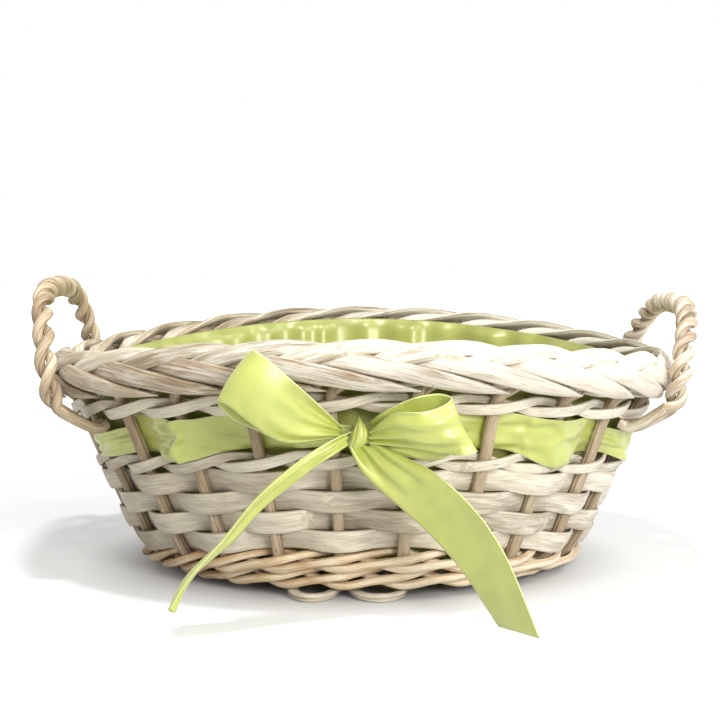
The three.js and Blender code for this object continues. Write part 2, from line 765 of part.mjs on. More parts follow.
const tailShares = {
  bow_tail_left: [
    [
      [-0.175, -0.235, 0.012], [-0.36, -0.4, -0.008], [-0.97, -0.67, -0.096],
      [-1.69, -1.03, -0.257], [-2.27, -1.27, -0.488], [-2.73, -1.39, -0.689],
      [-3.07, -1.47, -0.817],
    ],
    [
      [-0.21, -0.2, -0.06], [-0.42, -0.28, -0.11], [-0.98, -0.23, -0.206],
      [-1.65, -0.19, -0.36], [-2.2, -0.35, -0.56], [-2.7, -0.47, -0.725],
      [-3.14, -0.59, -0.884],
    ],
  ],
  bow_tail_right: [
    [
      [-0.1, -0.1, -0.12], [0.44, -0.2, -0.315], [1.04, -0.3, -0.476],
      [1.71, -0.44, -0.69], [2.38, -0.72, -0.994],
    ],
    [
      [0.18, -0.19, -0.095], [1.21, -0.75, -0.164], [1.95, -1.04, -0.38],
      [2.49, -1.25, -0.624], [3.0, -1.6, -0.994],
    ],
  ],
};
for (const [name, edges] of Object.entries(tailShares)) {
  addPiece(name, ribbonLength(edges, 12, true), satin, 0.35);
}

export default group;
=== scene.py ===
# Round willow gift basket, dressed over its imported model: fine willow strands,
# a gathered satin lining, and a satin ribbon tied in a bow.
import math

import bpy
import numpy as np
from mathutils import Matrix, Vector


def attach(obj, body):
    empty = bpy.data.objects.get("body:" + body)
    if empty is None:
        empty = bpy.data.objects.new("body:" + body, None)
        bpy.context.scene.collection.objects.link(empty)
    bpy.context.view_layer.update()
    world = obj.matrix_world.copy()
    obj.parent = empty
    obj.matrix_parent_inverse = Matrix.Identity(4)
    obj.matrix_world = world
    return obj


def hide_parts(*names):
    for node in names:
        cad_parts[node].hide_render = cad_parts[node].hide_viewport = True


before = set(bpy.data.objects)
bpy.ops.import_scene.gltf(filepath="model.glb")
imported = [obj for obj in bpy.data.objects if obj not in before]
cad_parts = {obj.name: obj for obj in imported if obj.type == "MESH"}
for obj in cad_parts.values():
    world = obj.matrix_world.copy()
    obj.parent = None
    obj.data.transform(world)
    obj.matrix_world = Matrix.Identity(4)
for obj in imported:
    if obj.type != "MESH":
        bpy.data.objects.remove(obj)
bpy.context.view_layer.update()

MM = 0.001  # shapes are worked out in millimetres and stored in metres

# ---------------------------------------------------------------- sizes, in mm
STAKES = 24
STAKE_DIAMETER = 4.8
STAKE_TIP_THICKNESS = 3.2
STAKE_FOOT_REACH = 12
STAKE_TURN = math.radians(-5)
FOOT_RADIUS = 98
END_FOOT_RADIUS = 88
FOOT_HEIGHT = 8.2
RIM_RADIUS = 143.6
RIM_HEIGHT = 98
END_SAG = 14
WEAVE_GAP = 0.35
WALE_DIAMETER = 3.8
WALE_START = 6.55
WALE_PITCH = 4.5
WALE_COURSES = 2
WALE_RODS = 3
STRIP_HEIGHT = 10.3
STRIP_THICKNESS = 1.5
STRIP_ROWS = 4
STRIP_PRESS = 1.25
FIRST_STRIP_PRESS = 0.6
STRIP_LIFT = 0.45
TWINE_HEIGHT = 3.8
TWINE_THICKNESS = 1.6
TWINE_SWING_SHARE = 0.65
BAND_HEIGHT = 20
PLAIT_RISE = 12.2
PLAIT_HALF_WIDTH = 6.2
PLAIT_HALF_HEIGHT = 7.4
PLAIT_STRANDS = 4
PLAIT_THICKNESS = 3.4
STROKE_WIDTH = 9
STRAND_NARROW = 5.3
STRAND_BROAD = 9.4
STROKE_THICKNESS = 3.8
HANDLE_DIAMETER = 5.2
HANDLE_GAP = 0.5
HANDLE_CLEARANCE = 1
BASE_STICK_DIAMETER = 5
BASE_STICK_SHORT = 3
BASE_WEAVER_WIDTH = 8
BASE_WEAVER_THICKNESS = 1.2
BASE_WEAVER_START = 34.5
BASE_WEAVER_END = 70
BASE_WEAVER_RISE = 4.4
BASE_SPOKES = 10
FOOT_LOOP_THICKNESS = 1.7
FOOT_LOOP_SWELL = 4.4
FOOT_LOOP_WIDTH = 4
FOOT_LOOP_REACH = 5
LINING_THICKNESS = 0.9
LINING_GAP = 0.6
LINING_RISE = 5.6
LINING_LEAN = 1.8
LINING_FOLDS = 50
LINING_GRID = 576, 58
LINING_MAP_RADIUS = 140
RIBBON_WIDTH = 25
RIBBON_THICKNESS = 0.8
RIBBON_GAP = 0.4
SATIN_THICKNESS = 0.35
REST_LEVEL = 0.02
KNOT_DEPTH = 12.4
KNOT_HEIGHT = 19

PITCH = 2 * math.pi / STAKES
STAKE_RADIUS = STAKE_DIAMETER / 2


# ------------------------------------------------------------ places and lines
def around(angle, radius, height):
    """Places by the angle round the basket, 0 at the bow and growing to the right."""
    angle, radius, height = np.broadcast_arrays(angle, radius, height)
    return np.stack([radius * np.sin(angle), -radius * np.cos(angle), height], -1)


def between(low, high, share):
    return low + (high - low) * share


def eased(value, low, high):
    share = np.clip((value - low) / (high - low), 0, 1)
    return share * share * (3 - 2 * share)


def hump(away, width):
    """1 in the middle, and less and less away from it on both sides."""
    return np.exp(-((away / width) ** 2))


def unit(vectors):
    return vectors / np.maximum(np.linalg.norm(vectors, axis=-1, keepdims=True), 1e-12)


def stake_angle(pitches):
    return STAKE_TURN + np.asarray(pitches, float) * PITCH


def curve_between(p1, p2, leave, arrive, share):
    """The smooth way from one point to the next, by its directions at both."""
    square = 3 * (p2 - p1) - 2 * leave - arrive
    cube = 2 * (p1 - p2) + leave + arrive
    return p1 + leave * share + square * share**2 + cube * share**3


def flow_through(knots, count):
    """Points on the smooth line through the knots; columns past the third go along."""
    knots = np.asarray(knots, float)
    padded = np.vstack([2 * knots[0] - knots[1], knots, 2 * knots[-1] - knots[-2]])
    gap = np.linalg.norm(np.diff(padded[:, :3], axis=0), axis=1) ** 0.5
    gap = np.maximum(gap, 1e-3)[:, None]
    place = np.linspace(0, len(knots) - 1, count)
    i = np.minimum(place.astype(int), len(knots) - 2)
    p0, p1, p2, p3 = (padded[i + k] for k in range(4))
    d0, d1, d2 = (gap[i + k] for k in range(3))
    leave = ((p1 - p0) / d0 - (p2 - p0) / (d0 + d1) + (p2 - p1) / d1) * d1
    arrive = ((p2 - p1) / d1 - (p3 - p1) / (d1 + d2) + (p3 - p2) / d2) * d1
    return curve_between(p1, p2, leave, arrive, (place - i)[:, None])


def distances(points):
    """How far along its line each point lies."""
    steps = np.linalg.norm(np.diff(points, axis=0), axis=-1)
    return np.concatenate([np.zeros_like(steps[:1]), np.cumsum(steps, axis=0)])


def evenly_along(line, count):
    """The same line with its points an even distance apart."""
    reach = distances(line)
    at = np.linspace(0, reach[-1], count)
    return np.stack([np.interp(at, reach, column) for column in line.T], axis=1)


def headings(middle, closed):
    if closed:
        return unit(np.roll(middle, -1, axis=0) - np.roll(middle, 1, axis=0))
    return unit(np.gradient(middle, axis=0))


# --------------------------------------------------------- the curve of the wall
FRONT_WALL_SHARES = [
    (0, 0), (0.08, 0.008), (0.145, 0.035), (0.2, 0.08), (0.28, 0.16), (0.36, 0.27),
    (0.68, 0.635), (1, 1),
]
WALL_STEPS = 1000
END_WALL_SHARES = [
    (0, 0), (0.15, 0), (0.27, 0.004), (0.36, 0.03), (0.43, 0.09), (0.5, 0.19),
    (0.75, 0.595), (1, 1),
]


def wall_curve(shares, start_radius, end_height):
    """The wall's profile as radius and height, evenly spaced, and its length."""
    knots = np.array([
        (between(start_radius, RIM_RADIUS, r), between(FOOT_HEIGHT, end_height, h))
        for r, h in shares
    ])
    place = np.linspace(0, len(knots) - 1, 2 * WALL_STEPS + 1)
    i = np.minimum(place.astype(int), len(knots) - 2)
    p0, p1 = knots[np.maximum(i - 1, 0)], knots[i]
    p2, p3 = knots[i + 1], knots[np.minimum(i + 2, len(knots) - 1)]
    line = curve_between(p1, p2, (p2 - p0) / 2, (p3 - p1) / 2, (place - i)[:, None])
    even = evenly_along(line, WALL_STEPS + 1)
    return even, unit(np.gradient(even, axis=0)), distances(line)[-1]


FRONT_WALL = wall_curve(FRONT_WALL_SHARES, FOOT_RADIUS, RIM_HEIGHT)
END_WALL = wall_curve(END_WALL_SHARES, END_FOOT_RADIUS, RIM_HEIGHT - END_SAG)
WALL_LENGTH = FRONT_WALL[2]


def on_wall(angle, up, out):
    """A place so far up the wall, and so far out from its middle surface."""
    angle, up, out = np.broadcast_arrays(np.asarray(angle, float), up, out)
    share = np.clip(up / WALL_LENGTH, 0, 1)
    weight = np.sin(angle) ** 2
    at, steps = share * WALL_STEPS, np.arange(WALL_STEPS + 1)

    def on(table):
        return np.stack([np.interp(at, steps, column) for column in table.T], -1)

    point = between(on(FRONT_WALL[0]), on(END_WALL[0]), weight[..., None])
    along = unit(between(on(FRONT_WALL[1]), on(END_WALL[1]), weight[..., None]))
    beyond = up - share * WALL_LENGTH
    radius = point[..., 0] + along[..., 0] * beyond + along[..., 1] * out
    height = point[..., 1] + along[..., 1] * beyond - along[..., 0] * out
    return around(angle, radius, height)


def wall_out(angle, up):
    return unit(on_wall(angle, up, STAKE_RADIUS) - on_wall(angle, up, 0.0))


# Places up the wall where each part of the weave lies
WALE_END = WALE_START + WALE_PITCH * (WALE_COURSES * (WALE_RODS - 1) - 1) + WALE_DIAMETER / 2
STRIP_START = WALE_END + 2 * WEAVE_GAP
STRIP_PITCH = STRIP_HEIGHT + WEAVE_GAP
TWINE_SWING = (TWINE_HEIGHT + WEAVE_GAP) * TWINE_SWING_SHARE
TWINE_TOTAL = 2 * TWINE_SWING + TWINE_HEIGHT
UPPER_TWINE = STRIP_START + STRIP_ROWS * STRIP_PITCH + TWINE_TOTAL / 2
BAND_START = UPPER_TWINE + TWINE_TOTAL / 2
BAND_END = BAND_START + BAND_HEIGHT
UNDER_TWINE = BAND_END + TWINE_TOTAL / 2
WEAVE_TOP = UNDER_TWINE + TWINE_TOTAL / 2
STRIP_OUT = STAKE_RADIUS + WEAVE_GAP + STRIP_THICKNESS / 2
WALE_OUT = STAKE_RADIUS + 2.5 * WEAVE_GAP + WALE_DIAMETER / 2
TWINE_OUT = STAKE_RADIUS + WEAVE_GAP + TWINE_THICKNESS / 2


def border_middle(angle):
    place = on_wall(angle, WEAVE_TOP + PLAIT_RISE, 0.0)
    return np.hypot(place[..., 0], place[..., 1]), place[..., 2]


def on_plait(angle, turn, share):
    """A place in the border, by a turn round its middle line and a share of its size."""
    radius, height = border_middle(angle)
    return around(
        angle,
        radius + PLAIT_HALF_WIDTH * share * np.cos(turn),
        height + PLAIT_HALF_HEIGHT * share * np.sin(turn),
    )


# ------------------------------------------------------------- node tree helpers
class Wire:
    """A value that flows through a node tree. Arithmetic with it adds the nodes."""

    def __init__(self, tree, socket):
        self.tree, self.socket = tree, socket

    def beside(self, key):
        """Another output of the same node."""
        return Wire(self.tree, self.socket.node.outputs[key])

    def __add__(self, other):
        return maths("ADD", self, other)

    def __sub__(self, other):
        return maths("SUBTRACT", self, other)

    def __rsub__(self, other):
        return maths("SUBTRACT", other, self)

    def __mul__(self, other):
        return maths("MULTIPLY", self, other)

    def __truediv__(self, other):
        return maths("DIVIDE", self, other)

    __radd__, __rmul__ = __add__, __mul__


def fill(node, inputs):
    """Fills a node's inputs with values or with wires."""
    for key, value in inputs.items():
        if isinstance(value, Wire):
            value.tree.links.new(value.socket, node.inputs[key])
        else:
            node.inputs[key].default_value = value


def place_node(tree, kind, inputs=None, output=0, **settings):
    """Adds a node, sets it and fills its inputs. Returns one output."""
    node = tree.nodes.new(kind)
    for name, value in settings.items():
        setattr(node, name, value)
    fill(node, inputs or {})
    return Wire(tree, node.outputs[output])


def tree_of(values):
    return next(value.tree for value in values if isinstance(value, Wire))


def maths(operation, *values):
    inputs = dict(enumerate(values))
    return place_node(tree_of(values), "ShaderNodeMath", inputs, operation=operation)


def vector_maths(operation, first, second=None, output=0, scale=None):
    given = {0: first, 1: second, "Scale": scale}
    inputs = {key: value for key, value in given.items() if value is not None}
    return place_node(first.tree, "ShaderNodeVectorMath", inputs, output, operation=operation)


def combine(*values):
    return place_node(tree_of(values), "ShaderNodeCombineXYZ", dict(enumerate(values)))


def split(vector):
    x = place_node(vector.tree, "ShaderNodeSeparateXYZ", {0: vector})
    return x, x.beside(1), x.beside(2)


def noise(place, detail=2.0, roughness=0.5, distortion=0.0):
    """A noise value round 0.5, whose grains are about 1 across."""
    inputs = {
        "Vector": place, "Scale": 1.0, "Detail": detail,
        "Roughness": roughness, "Distortion": distortion,
    }
    return place_node(place.tree, "ShaderNodeTexNoise", inputs)


def spread_out(value, low, high, to_low=0.0, to_high=1.0):
    """Brings the values from low to high to another range, eased at both ends."""
    inputs = {0: value, 1: low, 2: high, 3: to_low, 4: to_high}
    return place_node(
        value.tree, "ShaderNodeMapRange", inputs, interpolation_type="SMOOTHSTEP"
    )


def blend(share, first, second, blend_type="MIX"):
    """Mixes two colours."""
    inputs = {0: share, 6: first, 7: second}
    return place_node(
        share.tree, "ShaderNodeMix", inputs, 2, data_type="RGBA", blend_type=blend_type
    )


def colour(*channels):
    """A colour of 0 to 255 per channel, as Blender's linear values."""
    shares = [channel / 255 for channel in channels]
    linear = [s / 12.92 if s <= 0.04045 else ((s + 0.055) / 1.055) ** 2.4 for s in shares]
    return (*linear, 1.0)


def make_group(name, kind, inputs, outputs):
    """An empty node group. Returns it, its inputs as wires and its output node."""
    group = bpy.data.node_groups.new(name, kind)
    for socket_name, socket_type, value in inputs:
        socket = group.interface.new_socket(
            socket_name, in_out="INPUT", socket_type=socket_type
        )
        if value is not None:
            socket.default_value = value
    for socket_name, socket_type in outputs:
        group.interface.new_socket(socket_name, in_out="OUTPUT", socket_type=socket_type)
    given = group.nodes.new("NodeGroupInput")
    wires = {socket_name: Wire(group, given.outputs[socket_name]) for socket_name, *_ in inputs}
    return group, wires, group.nodes.new("NodeGroupOutput")


FLOAT, COLOUR = "NodeSocketFloat", "NodeSocketColor"
LOOK_OUTPUTS = [("Color", COLOUR), ("Roughness", FLOAT), ("Height", FLOAT)]


# ------------------------------------------------------------ material effects
def stored(group, name, output="Fac"):
    """A value that the pieces' meshes bring along."""
    return place_node(group, "ShaderNodeAttribute", output=output, attribute_name=name)


def make_willow_grain():
    """Grain, fibres, whitewash and dark nicks that run along a willow strand, with painted shade
    at its sides and extra whitewash as painted light on the basket's right-hand side.
    """
    group, given, result = make_group(
        "Willow grain", "ShaderNodeTree",
        [
            ("Light", COLOUR, None), ("Dark", COLOUR, None), ("Wash", COLOUR, None),
            ("Wash Amount", FLOAT, 0.4), ("Streak Width", FLOAT, 1.2),
            ("Streak Length", FLOAT, 30.0), ("Nicks", FLOAT, 0.5),
        ],
        LOOK_OUTPUTS,
    )
    tint, whitewash_and_painted_light = stored(group, "tint"), stored(group, "whitewash_and_painted_light")
    in_mm = vector_maths("SCALE", stored(group, "strand_place", "Vector"), scale=1 / MM)
    outward, sideways, along = split(in_mm)
    # Strands of another tint also show another stretch of the grain
    shifted = tint * 137.0 + along

    def along_grain(width, length):
        return combine(outward / width, sideways / width, shifted / length)

    streaks = noise(along_grain(given["Streak Width"], given["Streak Length"]), 5.0, 0.62, 0.3)
    fibres = noise(along_grain(0.28, 9.0), 3.0, 0.55, 0.2)
    patches = noise(along_grain(5.0, 26.0), 3.0, 0.6, 0.6)
    nicks = noise(along_grain(0.7, 3.2), 2.0, 0.5, 0.8)

    grain = (
        0.46 * spread_out(streaks, 0.24, 0.76)
        + 0.26 * spread_out(fibres, 0.28, 0.72)
        + 0.28 * spread_out(patches, 0.28, 0.72)
    )
    bare = blend(grain + (0.6 * tint - 0.3), given["Dark"], given["Light"])
    # Whitewash stays where the noise passes a line. More whitewash lowers the line, and so does
    # the painted light towards the basket's right-hand side
    wash_edge = 0.55 * patches + 0.45 * streaks
    wash_line = 0.74 - 0.5 * given["Wash Amount"] - 0.34 * whitewash_and_painted_light
    wash_share = spread_out(wash_edge - wash_line, -0.1, 0.13)
    washed = blend(0.68 * wash_share, bare, given["Wash"])
    nick_share = spread_out(nicks, 0.71, 0.78) * given["Nicks"]
    nicked = blend(nick_share, washed, given["Dark"], "MULTIPLY")
    # Painted shade: strands are made darker at their sides, where they lie against each other and
    # shade falls
    painted_side_shade = spread_out(maths("ABSOLUTE", outward), 0.05, 0.8, 0.62, 0.0)
    final = blend(painted_side_shade, nicked, given["Dark"], "MULTIPLY")
    rough = 0.2 * wash_share + 0.56
    fill(result, {"Color": final, "Roughness": rough, "Height": grain - nick_share})
    return group


def make_satin_cloth():
    """Fine ribs, slubs and a sewn edge on satin, by the cloth's own UV map in mm."""
    group, given, result = make_group(
        "Satin cloth", "ShaderNodeTree",
        [
            ("Colour", COLOUR, None), ("Deep Colour", COLOUR, None),
            ("Rib Spacing", FLOAT, 0.4), ("Edge", FLOAT, 1.0),
        ],
        LOOK_OUTPUTS,
    )
    along, across, _ = split(place_node(group, "ShaderNodeUVMap", uv_map="cloth"))
    from_edge = stored(group, "from_edge") * (1 / MM)
    ribs = maths("SINE", along / given["Rib Spacing"] * (2 * math.pi))
    slubs = noise(combine(along * 3.4, across * 0.12), 3.0, 0.6)
    clouds = noise(combine(along * 0.05, across * 0.05))
    share = spread_out(0.16 * slubs + 0.84 * clouds, 0.3, 0.68)
    base = blend(share, given["Deep Colour"], given["Colour"])
    # The woven edge: a pale selvedge with a thin line of tiny darker holes inside it
    line_away = maths("ABSOLUTE", from_edge - 0.75)
    line = 1.0 - spread_out(line_away, 0.05, 0.24)
    hole_spacing = 1.1
    holes = spread_out(maths("SINE", along * (2 * math.pi / hole_spacing)), -0.2, 0.6)
    stitched = line * given["Edge"] * holes
    darker = blend(0.75 * stitched, base, (0.2, 0.22, 0.05, 1.0))
    selvedge = (1.0 - spread_out(from_edge, 0.35, 0.65)) * given["Edge"]
    final = blend(0.4 * selvedge, darker, (0.84, 0.87, 0.46, 1.0))
    height = 0.08 * ribs + 0.14 * slubs - 0.5 * stitched
    fill(result, {"Color": final, "Roughness": 0.14 * slubs + 0.3, "Height": height})
    return group


WILLOW_GRAIN = make_willow_grain()
SATIN_CLOTH = make_satin_cloth()


def new_material(name):
    """A material, its node tree and its shader."""
    material = bpy.data.materials.new(name)
    material.use_nodes = True
    return material, material.node_tree, material.node_tree.nodes["Principled BSDF"]


def make_finish(name, group, values, bump_strength, bump_depth, shader_values):
    """A material whose colour, roughness and bump come from one of the effects."""
    material, tree, shader = new_material(name)
    effect = place_node(tree, "ShaderNodeGroup", values, node_tree=group)
    bump = place_node(tree, "ShaderNodeBump", {
        "Height": effect.beside("Height"), "Strength": bump_strength, "Distance": bump_depth,
    })
    fill(shader, {
        "Base Color": effect, "Roughness": effect.beside("Roughness"), "Normal": bump,
        **shader_values,
    })
    return material


def make_willow(name, light, dark, wash, amount, width, length, nicks, gloss=0.35, relief=0.55):
    values = {
        "Light": colour(*light), "Dark": colour(*dark), "Wash": colour(*wash),
        "Wash Amount": amount, "Streak Width": width, "Streak Length": length, "Nicks": nicks,
    }
    return make_finish(
        name, WILLOW_GRAIN, values, relief, 0.0006, {"Specular IOR Level": gloss}
    )


def make_satin(name, main, deep, ribs, edge, sheen, coat):
    values = {
        "Colour": colour(*main), "Deep Colour": colour(*deep),
        "Rib Spacing": ribs, "Edge": edge,
    }
    return make_finish(name, SATIN_CLOTH, values, 0.2, 0.0002, {
        "Specular IOR Level": 1.0, "Specular Tint": (1.0, 1.0, 0.72, 1.0),
        "Sheen Weight": sheen, "Sheen Roughness": 0.35,
        "Coat Weight": coat, "Coat Roughness": 0.3,
    })


# By slot: light, dark and whitewash colours, amount of whitewash, width and length of
# the streaks in mm, and share of nicks
WILLOWS = {
    "grey_strip": make_willow(
        "weathered grey strip", (248, 239, 217), (168, 154, 132), (252, 248, 236),
        0.28, 0.5, 12.0, 0.9, relief=0.22,
    ),
    "honey_rod": make_willow(
        "honey willow rod", (252, 230, 188), (196, 156, 110), (254, 246, 224),
        0.5, 1.4, 22.0, 0.9, gloss=0.5,
    ),
    "handle_rod": make_willow(
        "handle willow rod", (242, 224, 191), (134, 108, 78), (250, 244, 229),
        0.34, 0.8, 18.0, 0.8,
    ),
    "pale_border": make_willow(
        "whitewashed border", (236, 224, 197), (138, 119, 92), (243, 239, 225),
        0.32, 0.8, 26.0, 1.0,
    ),
    "stake_rod": make_willow(
        "stake willow", (230, 212, 182), (136, 113, 85), (244, 239, 226),
        0.24, 0.7, 24.0, 1.0,
    ),
    "base_stick": make_willow(
        "base willow", (200, 174, 136), (120, 96, 68), (226, 212, 184),
        0.3, 1.5, 24.0, 0.8,
    ),
}
# Main and deep colour, spacing of the ribs in mm, sewn edge, sheen and coat
LINING_SATIN = make_satin("lining satin", (162, 166, 84), (146, 150, 70), 0.5, 0.0, 0.1, 0.2)
RIBBON_SATIN = make_satin("ribbon satin", (198, 206, 106), (178, 186, 86), 0.38, 1.0, 0.1, 0.7)


# --------------------------------------------------------------- willow strands
def make_strand_tree():
    """Geometry nodes that sweep an uneven willow section along a path. The path brings
    its outward and sideways directions and its half sizes as attributes."""
    tree, given, result = make_group(
        "Willow strand", "GeometryNodeTree",
        [
            ("Path", "NodeSocketGeometry", None), ("Section Points", "NodeSocketInt", 12),
            ("Squareness", FLOAT, 0.0), ("Crown", FLOAT, 0.0), ("Unevenness", FLOAT, 0.06),
            ("Uneven Length", FLOAT, 0.02), ("Bark Relief", FLOAT, 0.0001),
            ("Seed", "NodeSocketInt", 0), ("Material", "NodeSocketMaterial", None),
        ],
        [("Strand", "NodeSocketGeometry")],
    )

    def attribute(name, data_type="FLOAT_VECTOR"):
        return place_node(
            tree, "GeometryNodeInputNamedAttribute", {"Name": name}, "Attribute",
            data_type=data_type,
        )

    def store(geometry, name, value):
        return place_node(
            tree, "GeometryNodeStoreNamedAttribute",
            {"Geometry": geometry, "Name": name, "Value": value},
            data_type="FLOAT_VECTOR", domain="POINT",
        )

    position = place_node(tree, "GeometryNodeInputPosition")
    path = store(given["Path"], "middle", position)
    path = place_node(tree, "GeometryNodeMeshToCurve", {"Mesh": path})
    circle = place_node(
        tree, "GeometryNodeCurvePrimitiveCircle",
        {"Resolution": given["Section Points"], "Radius": 1.0}, mode="RADIUS",
    )
    circle = store(circle, "section", position)
    swept = place_node(
        tree, "GeometryNodeCurveToMesh",
        {"Curve": path, "Profile Curve": circle, "Fill Caps": True},
    )

    # The section: a circle drawn towards a rounded rectangle by its squareness
    power = given["Squareness"] * -0.75 + 1.0

    def squared(value):
        return maths("SIGN", value) * maths("POWER", maths("ABSOLUTE", value), power)

    out_share, across_share = map(squared, split(attribute("section"))[:2])
    middle = attribute("middle")
    seed_place = combine(given["Seed"] * 3.7, 0.31, 7.9)
    grains = vector_maths("DIVIDE", middle, combine(*[given["Uneven Length"]] * 3))
    thick_place = vector_maths("ADD", grains, seed_place)
    wide_place = vector_maths("ADD", thick_place, (11.3, 5.1, 2.7))

    def uneven(name, place):
        swing = (noise(place, 1.0) - 0.5) * given["Unevenness"]
        return attribute(name, "FLOAT") * (swing * 4.0 + 1.0)

    thickness = uneven("half_thickness", thick_place)
    width = uneven("half_width", wide_place)
    bow = 1.0 - across_share * across_share
    out_reach = bow * given["Crown"] + out_share * thickness
    across_reach = across_share * width
    place = middle
    for name, reach in (("out", out_reach), ("across", across_reach)):
        place = vector_maths("ADD", place, vector_maths("SCALE", attribute(name), scale=reach))
    grain_place = combine(out_reach, across_reach, attribute("reach", "FLOAT"))
    swept = store(swept, "strand_place", grain_place)
    swept = place_node(
        tree, "GeometryNodeSetPosition", {"Geometry": swept, "Position": place}
    )

    # Ridges of bark that run along the strand
    squeezed = vector_maths("MULTIPLY", attribute("strand_place"), (900.0, 900.0, 60.0))
    ridge = noise(vector_maths("ADD", squeezed, seed_place), 3.0, 0.6) - 0.5
    normal = place_node(tree, "GeometryNodeInputNormal")
    offset = vector_maths("SCALE", normal, scale=ridge * given["Bark Relief"] * 2.0)
    for kind, inputs in (
        ("SetPosition", {"Offset": offset}), ("SetShadeSmooth", {"Shade Smooth": True}),
        ("RealizeInstances", {}), ("SetMaterial", {"Material": given["Material"]}),
    ):
        swept = place_node(tree, "GeometryNode" + kind, {"Geometry": swept, **inputs})
    fill(result, {"Strand": swept})
    return tree


STRAND_TREE = make_strand_tree()


def add_object(name, data):
    added = bpy.data.objects.new(name, data)
    bpy.context.scene.collection.objects.link(added)
    return added


def keep_on_points(mesh, name, values):
    """Stores a number or a vector for each point of a mesh."""
    kind, field = ("FLOAT", "value") if values.ndim == 1 else ("FLOAT_VECTOR", "vector")
    layer = mesh.attributes.new(name, kind, "POINT")
    layer.data.foreach_set(field, np.ascontiguousarray(values, np.float32).ravel())


def from_nodes(name, source, tree, settings):
    """Runs a geometry node tree on a mesh and keeps the result as a plain mesh object."""
    rough = add_object(name + "_source", source)
    modifier = rough.modifiers.new("nodes", "NODES")
    modifier.node_group = tree
    names = {
        item.name: item.identifier
        for item in tree.interface.items_tree
        if item.item_type == "SOCKET" and item.in_out == "INPUT"
    }
    for key, value in settings.items():
        modifier[names[key]] = value
    graph = bpy.context.evaluated_depsgraph_get()
    mesh = bpy.data.meshes.new_from_object(rough.evaluated_get(graph), depsgraph=graph)
    bpy.data.objects.remove(rough)
    bpy.data.meshes.remove(source)
    mesh.name = name
    return add_object(name, mesh)


def settle(piece, nodes):
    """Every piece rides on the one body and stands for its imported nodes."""
    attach(piece, "root")
    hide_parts(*nodes)


STRAND_SORTS = {
    "strip": {
        "Section Points": 18, "Squareness": 0.88, "Crown": 0.3 * MM, "Unevenness": 0.022,
        "Uneven Length": 0.03, "Bark Relief": 0.05 * MM,
    },
    "rod": {
        "Section Points": 12, "Squareness": 0.0, "Crown": 0.0, "Unevenness": 0.05,
        "Uneven Length": 0.018, "Bark Relief": 0.12 * MM,
    },
    "leaf": {
        "Section Points": 16, "Squareness": 0.25, "Crown": 0.35 * MM, "Unevenness": 0.045,
        "Uneven Length": 0.022, "Bark Relief": 0.16 * MM,
    },
}


def weave_strand(node, sort, path, slot_name, closed=False, seed=0):
    """One willow strand along its path, a dictionary of middle, out and half sizes in mm."""
    name = "willow_" + node
    middle = np.asarray(path["middle"], float)
    count = len(middle)
    along = headings(middle, closed)
    out = np.broadcast_to(path["out"], middle.shape)
    out = unit(out - along * (out * along).sum(1, keepdims=True))
    across = np.cross(along, out)
    edges = [(i, i + 1) for i in range(count - 1)] + ([(count - 1, 0)] if closed else [])
    source = bpy.data.meshes.new(name + "_path")
    source.from_pydata((middle * MM).tolist(), edges, [])
    brought = {
        "half_thickness": np.broadcast_to(path["half_thickness"], count) * MM,
        "half_width": np.broadcast_to(path["half_width"], count) * MM,
        "reach": distances(middle) * MM,
        "tint": np.broadcast_to(path.get("tint", 0.5), count),
        "whitewash_and_painted_light": np.broadcast_to(path.get("whitewash_and_painted_light", 0.0), count),
        "out": out,
        "across": across,
    }
    for key, values in brought.items():
        keep_on_points(source, key, values)
    settings = {**STRAND_SORTS[sort], "Seed": seed, "Material": WILLOWS[slot_name]}
    piece = from_nodes(name, source, STRAND_TREE, settings)
    places = np.empty(3 * len(piece.data.vertices), np.float32)
    piece.data.vertices.foreach_get("co", places)
    places[2::3] = np.maximum(places[2::3], REST_LEVEL * MM)
    piece.data.vertices.foreach_set("co", places)
    settle(piece, [node])


HALF_JOIN = 0.12  # of a pitch


def painted_right_light(middle):
    """Painted light and shade: the whitewash is made heavier towards the right-hand side of the
    basket, where the light falls, and lighter towards the left.
    """
    return 0.3 * eased(middle[:, 0], -40, 140) - 0.3 * eased(-middle[:, 0], -20, 130)


def piece_by_piece(pitches, lengths, draws, low, high):
    """A value that changes from one rod to the next round a ring, eased at each join."""
    joins = np.concatenate([[0], np.cumsum(lengths)])
    joins = joins / joins[-1] * STAKES
    values = draws.uniform(low, high, len(lengths))
    result = np.full(len(pitches), values[0])
    for join, before, after in zip(joins[1:-1], values[:-1], values[1:]):
        result = result + (after - before) * eased(pitches, join - HALF_JOIN, join + HALF_JOIN)
    return result + (values[0] - values[-1]) * eased(pitches, STAKES - 2 * HALF_JOIN, STAKES)


draws = np.random.default_rng(24)


def ring_path(per_pitch, station_at, tint=(0.05, 0.95), sizes=(0.94, 1.06), whitewash_and_painted_light=0.0, start=12):
    """A closed ring round the stakes from a rule for its places at a count of pitches.
    Its ends meet at the back, inside the stake that it starts at."""
    passed = np.arange(STAKES * per_pitch) / per_pitch
    pitches = start + passed
    angle = stake_angle(pitches)
    path = station_at(pitches, angle)
    lengths = draws.uniform(3, 6, 6)
    path["tint"] = piece_by_piece(passed, lengths, draws, *tint)
    path["half_width"] = path["half_width"] * piece_by_piece(passed, lengths, draws, *sizes)
    # Whitewash, plus painted light towards the right-hand side and painted shade towards the left
    path["whitewash_and_painted_light"] = whitewash_and_painted_light + painted_right_light(path["middle"])
    return path


def over_under(pitches):
    nearest = np.round(pitches)
    away = np.abs(pitches - nearest)
    side = np.where(nearest % 2 == 0, 1, -1)
    return side * np.sin(np.pi / 2 * np.clip((0.5 - away) * 2.15, 0, 1))


def woven_at(angle, up, out, thickness, half_width, rise=0.0):
    """A strand that lies so far up the wall and so far out from its middle surface. A rise
    moves it further up without turning its section."""
    return {
        "middle": on_wall(angle, up + rise, out),
        "out": wall_out(angle, up),
        "half_thickness": thickness / 2,
        "half_width": half_width,
    }


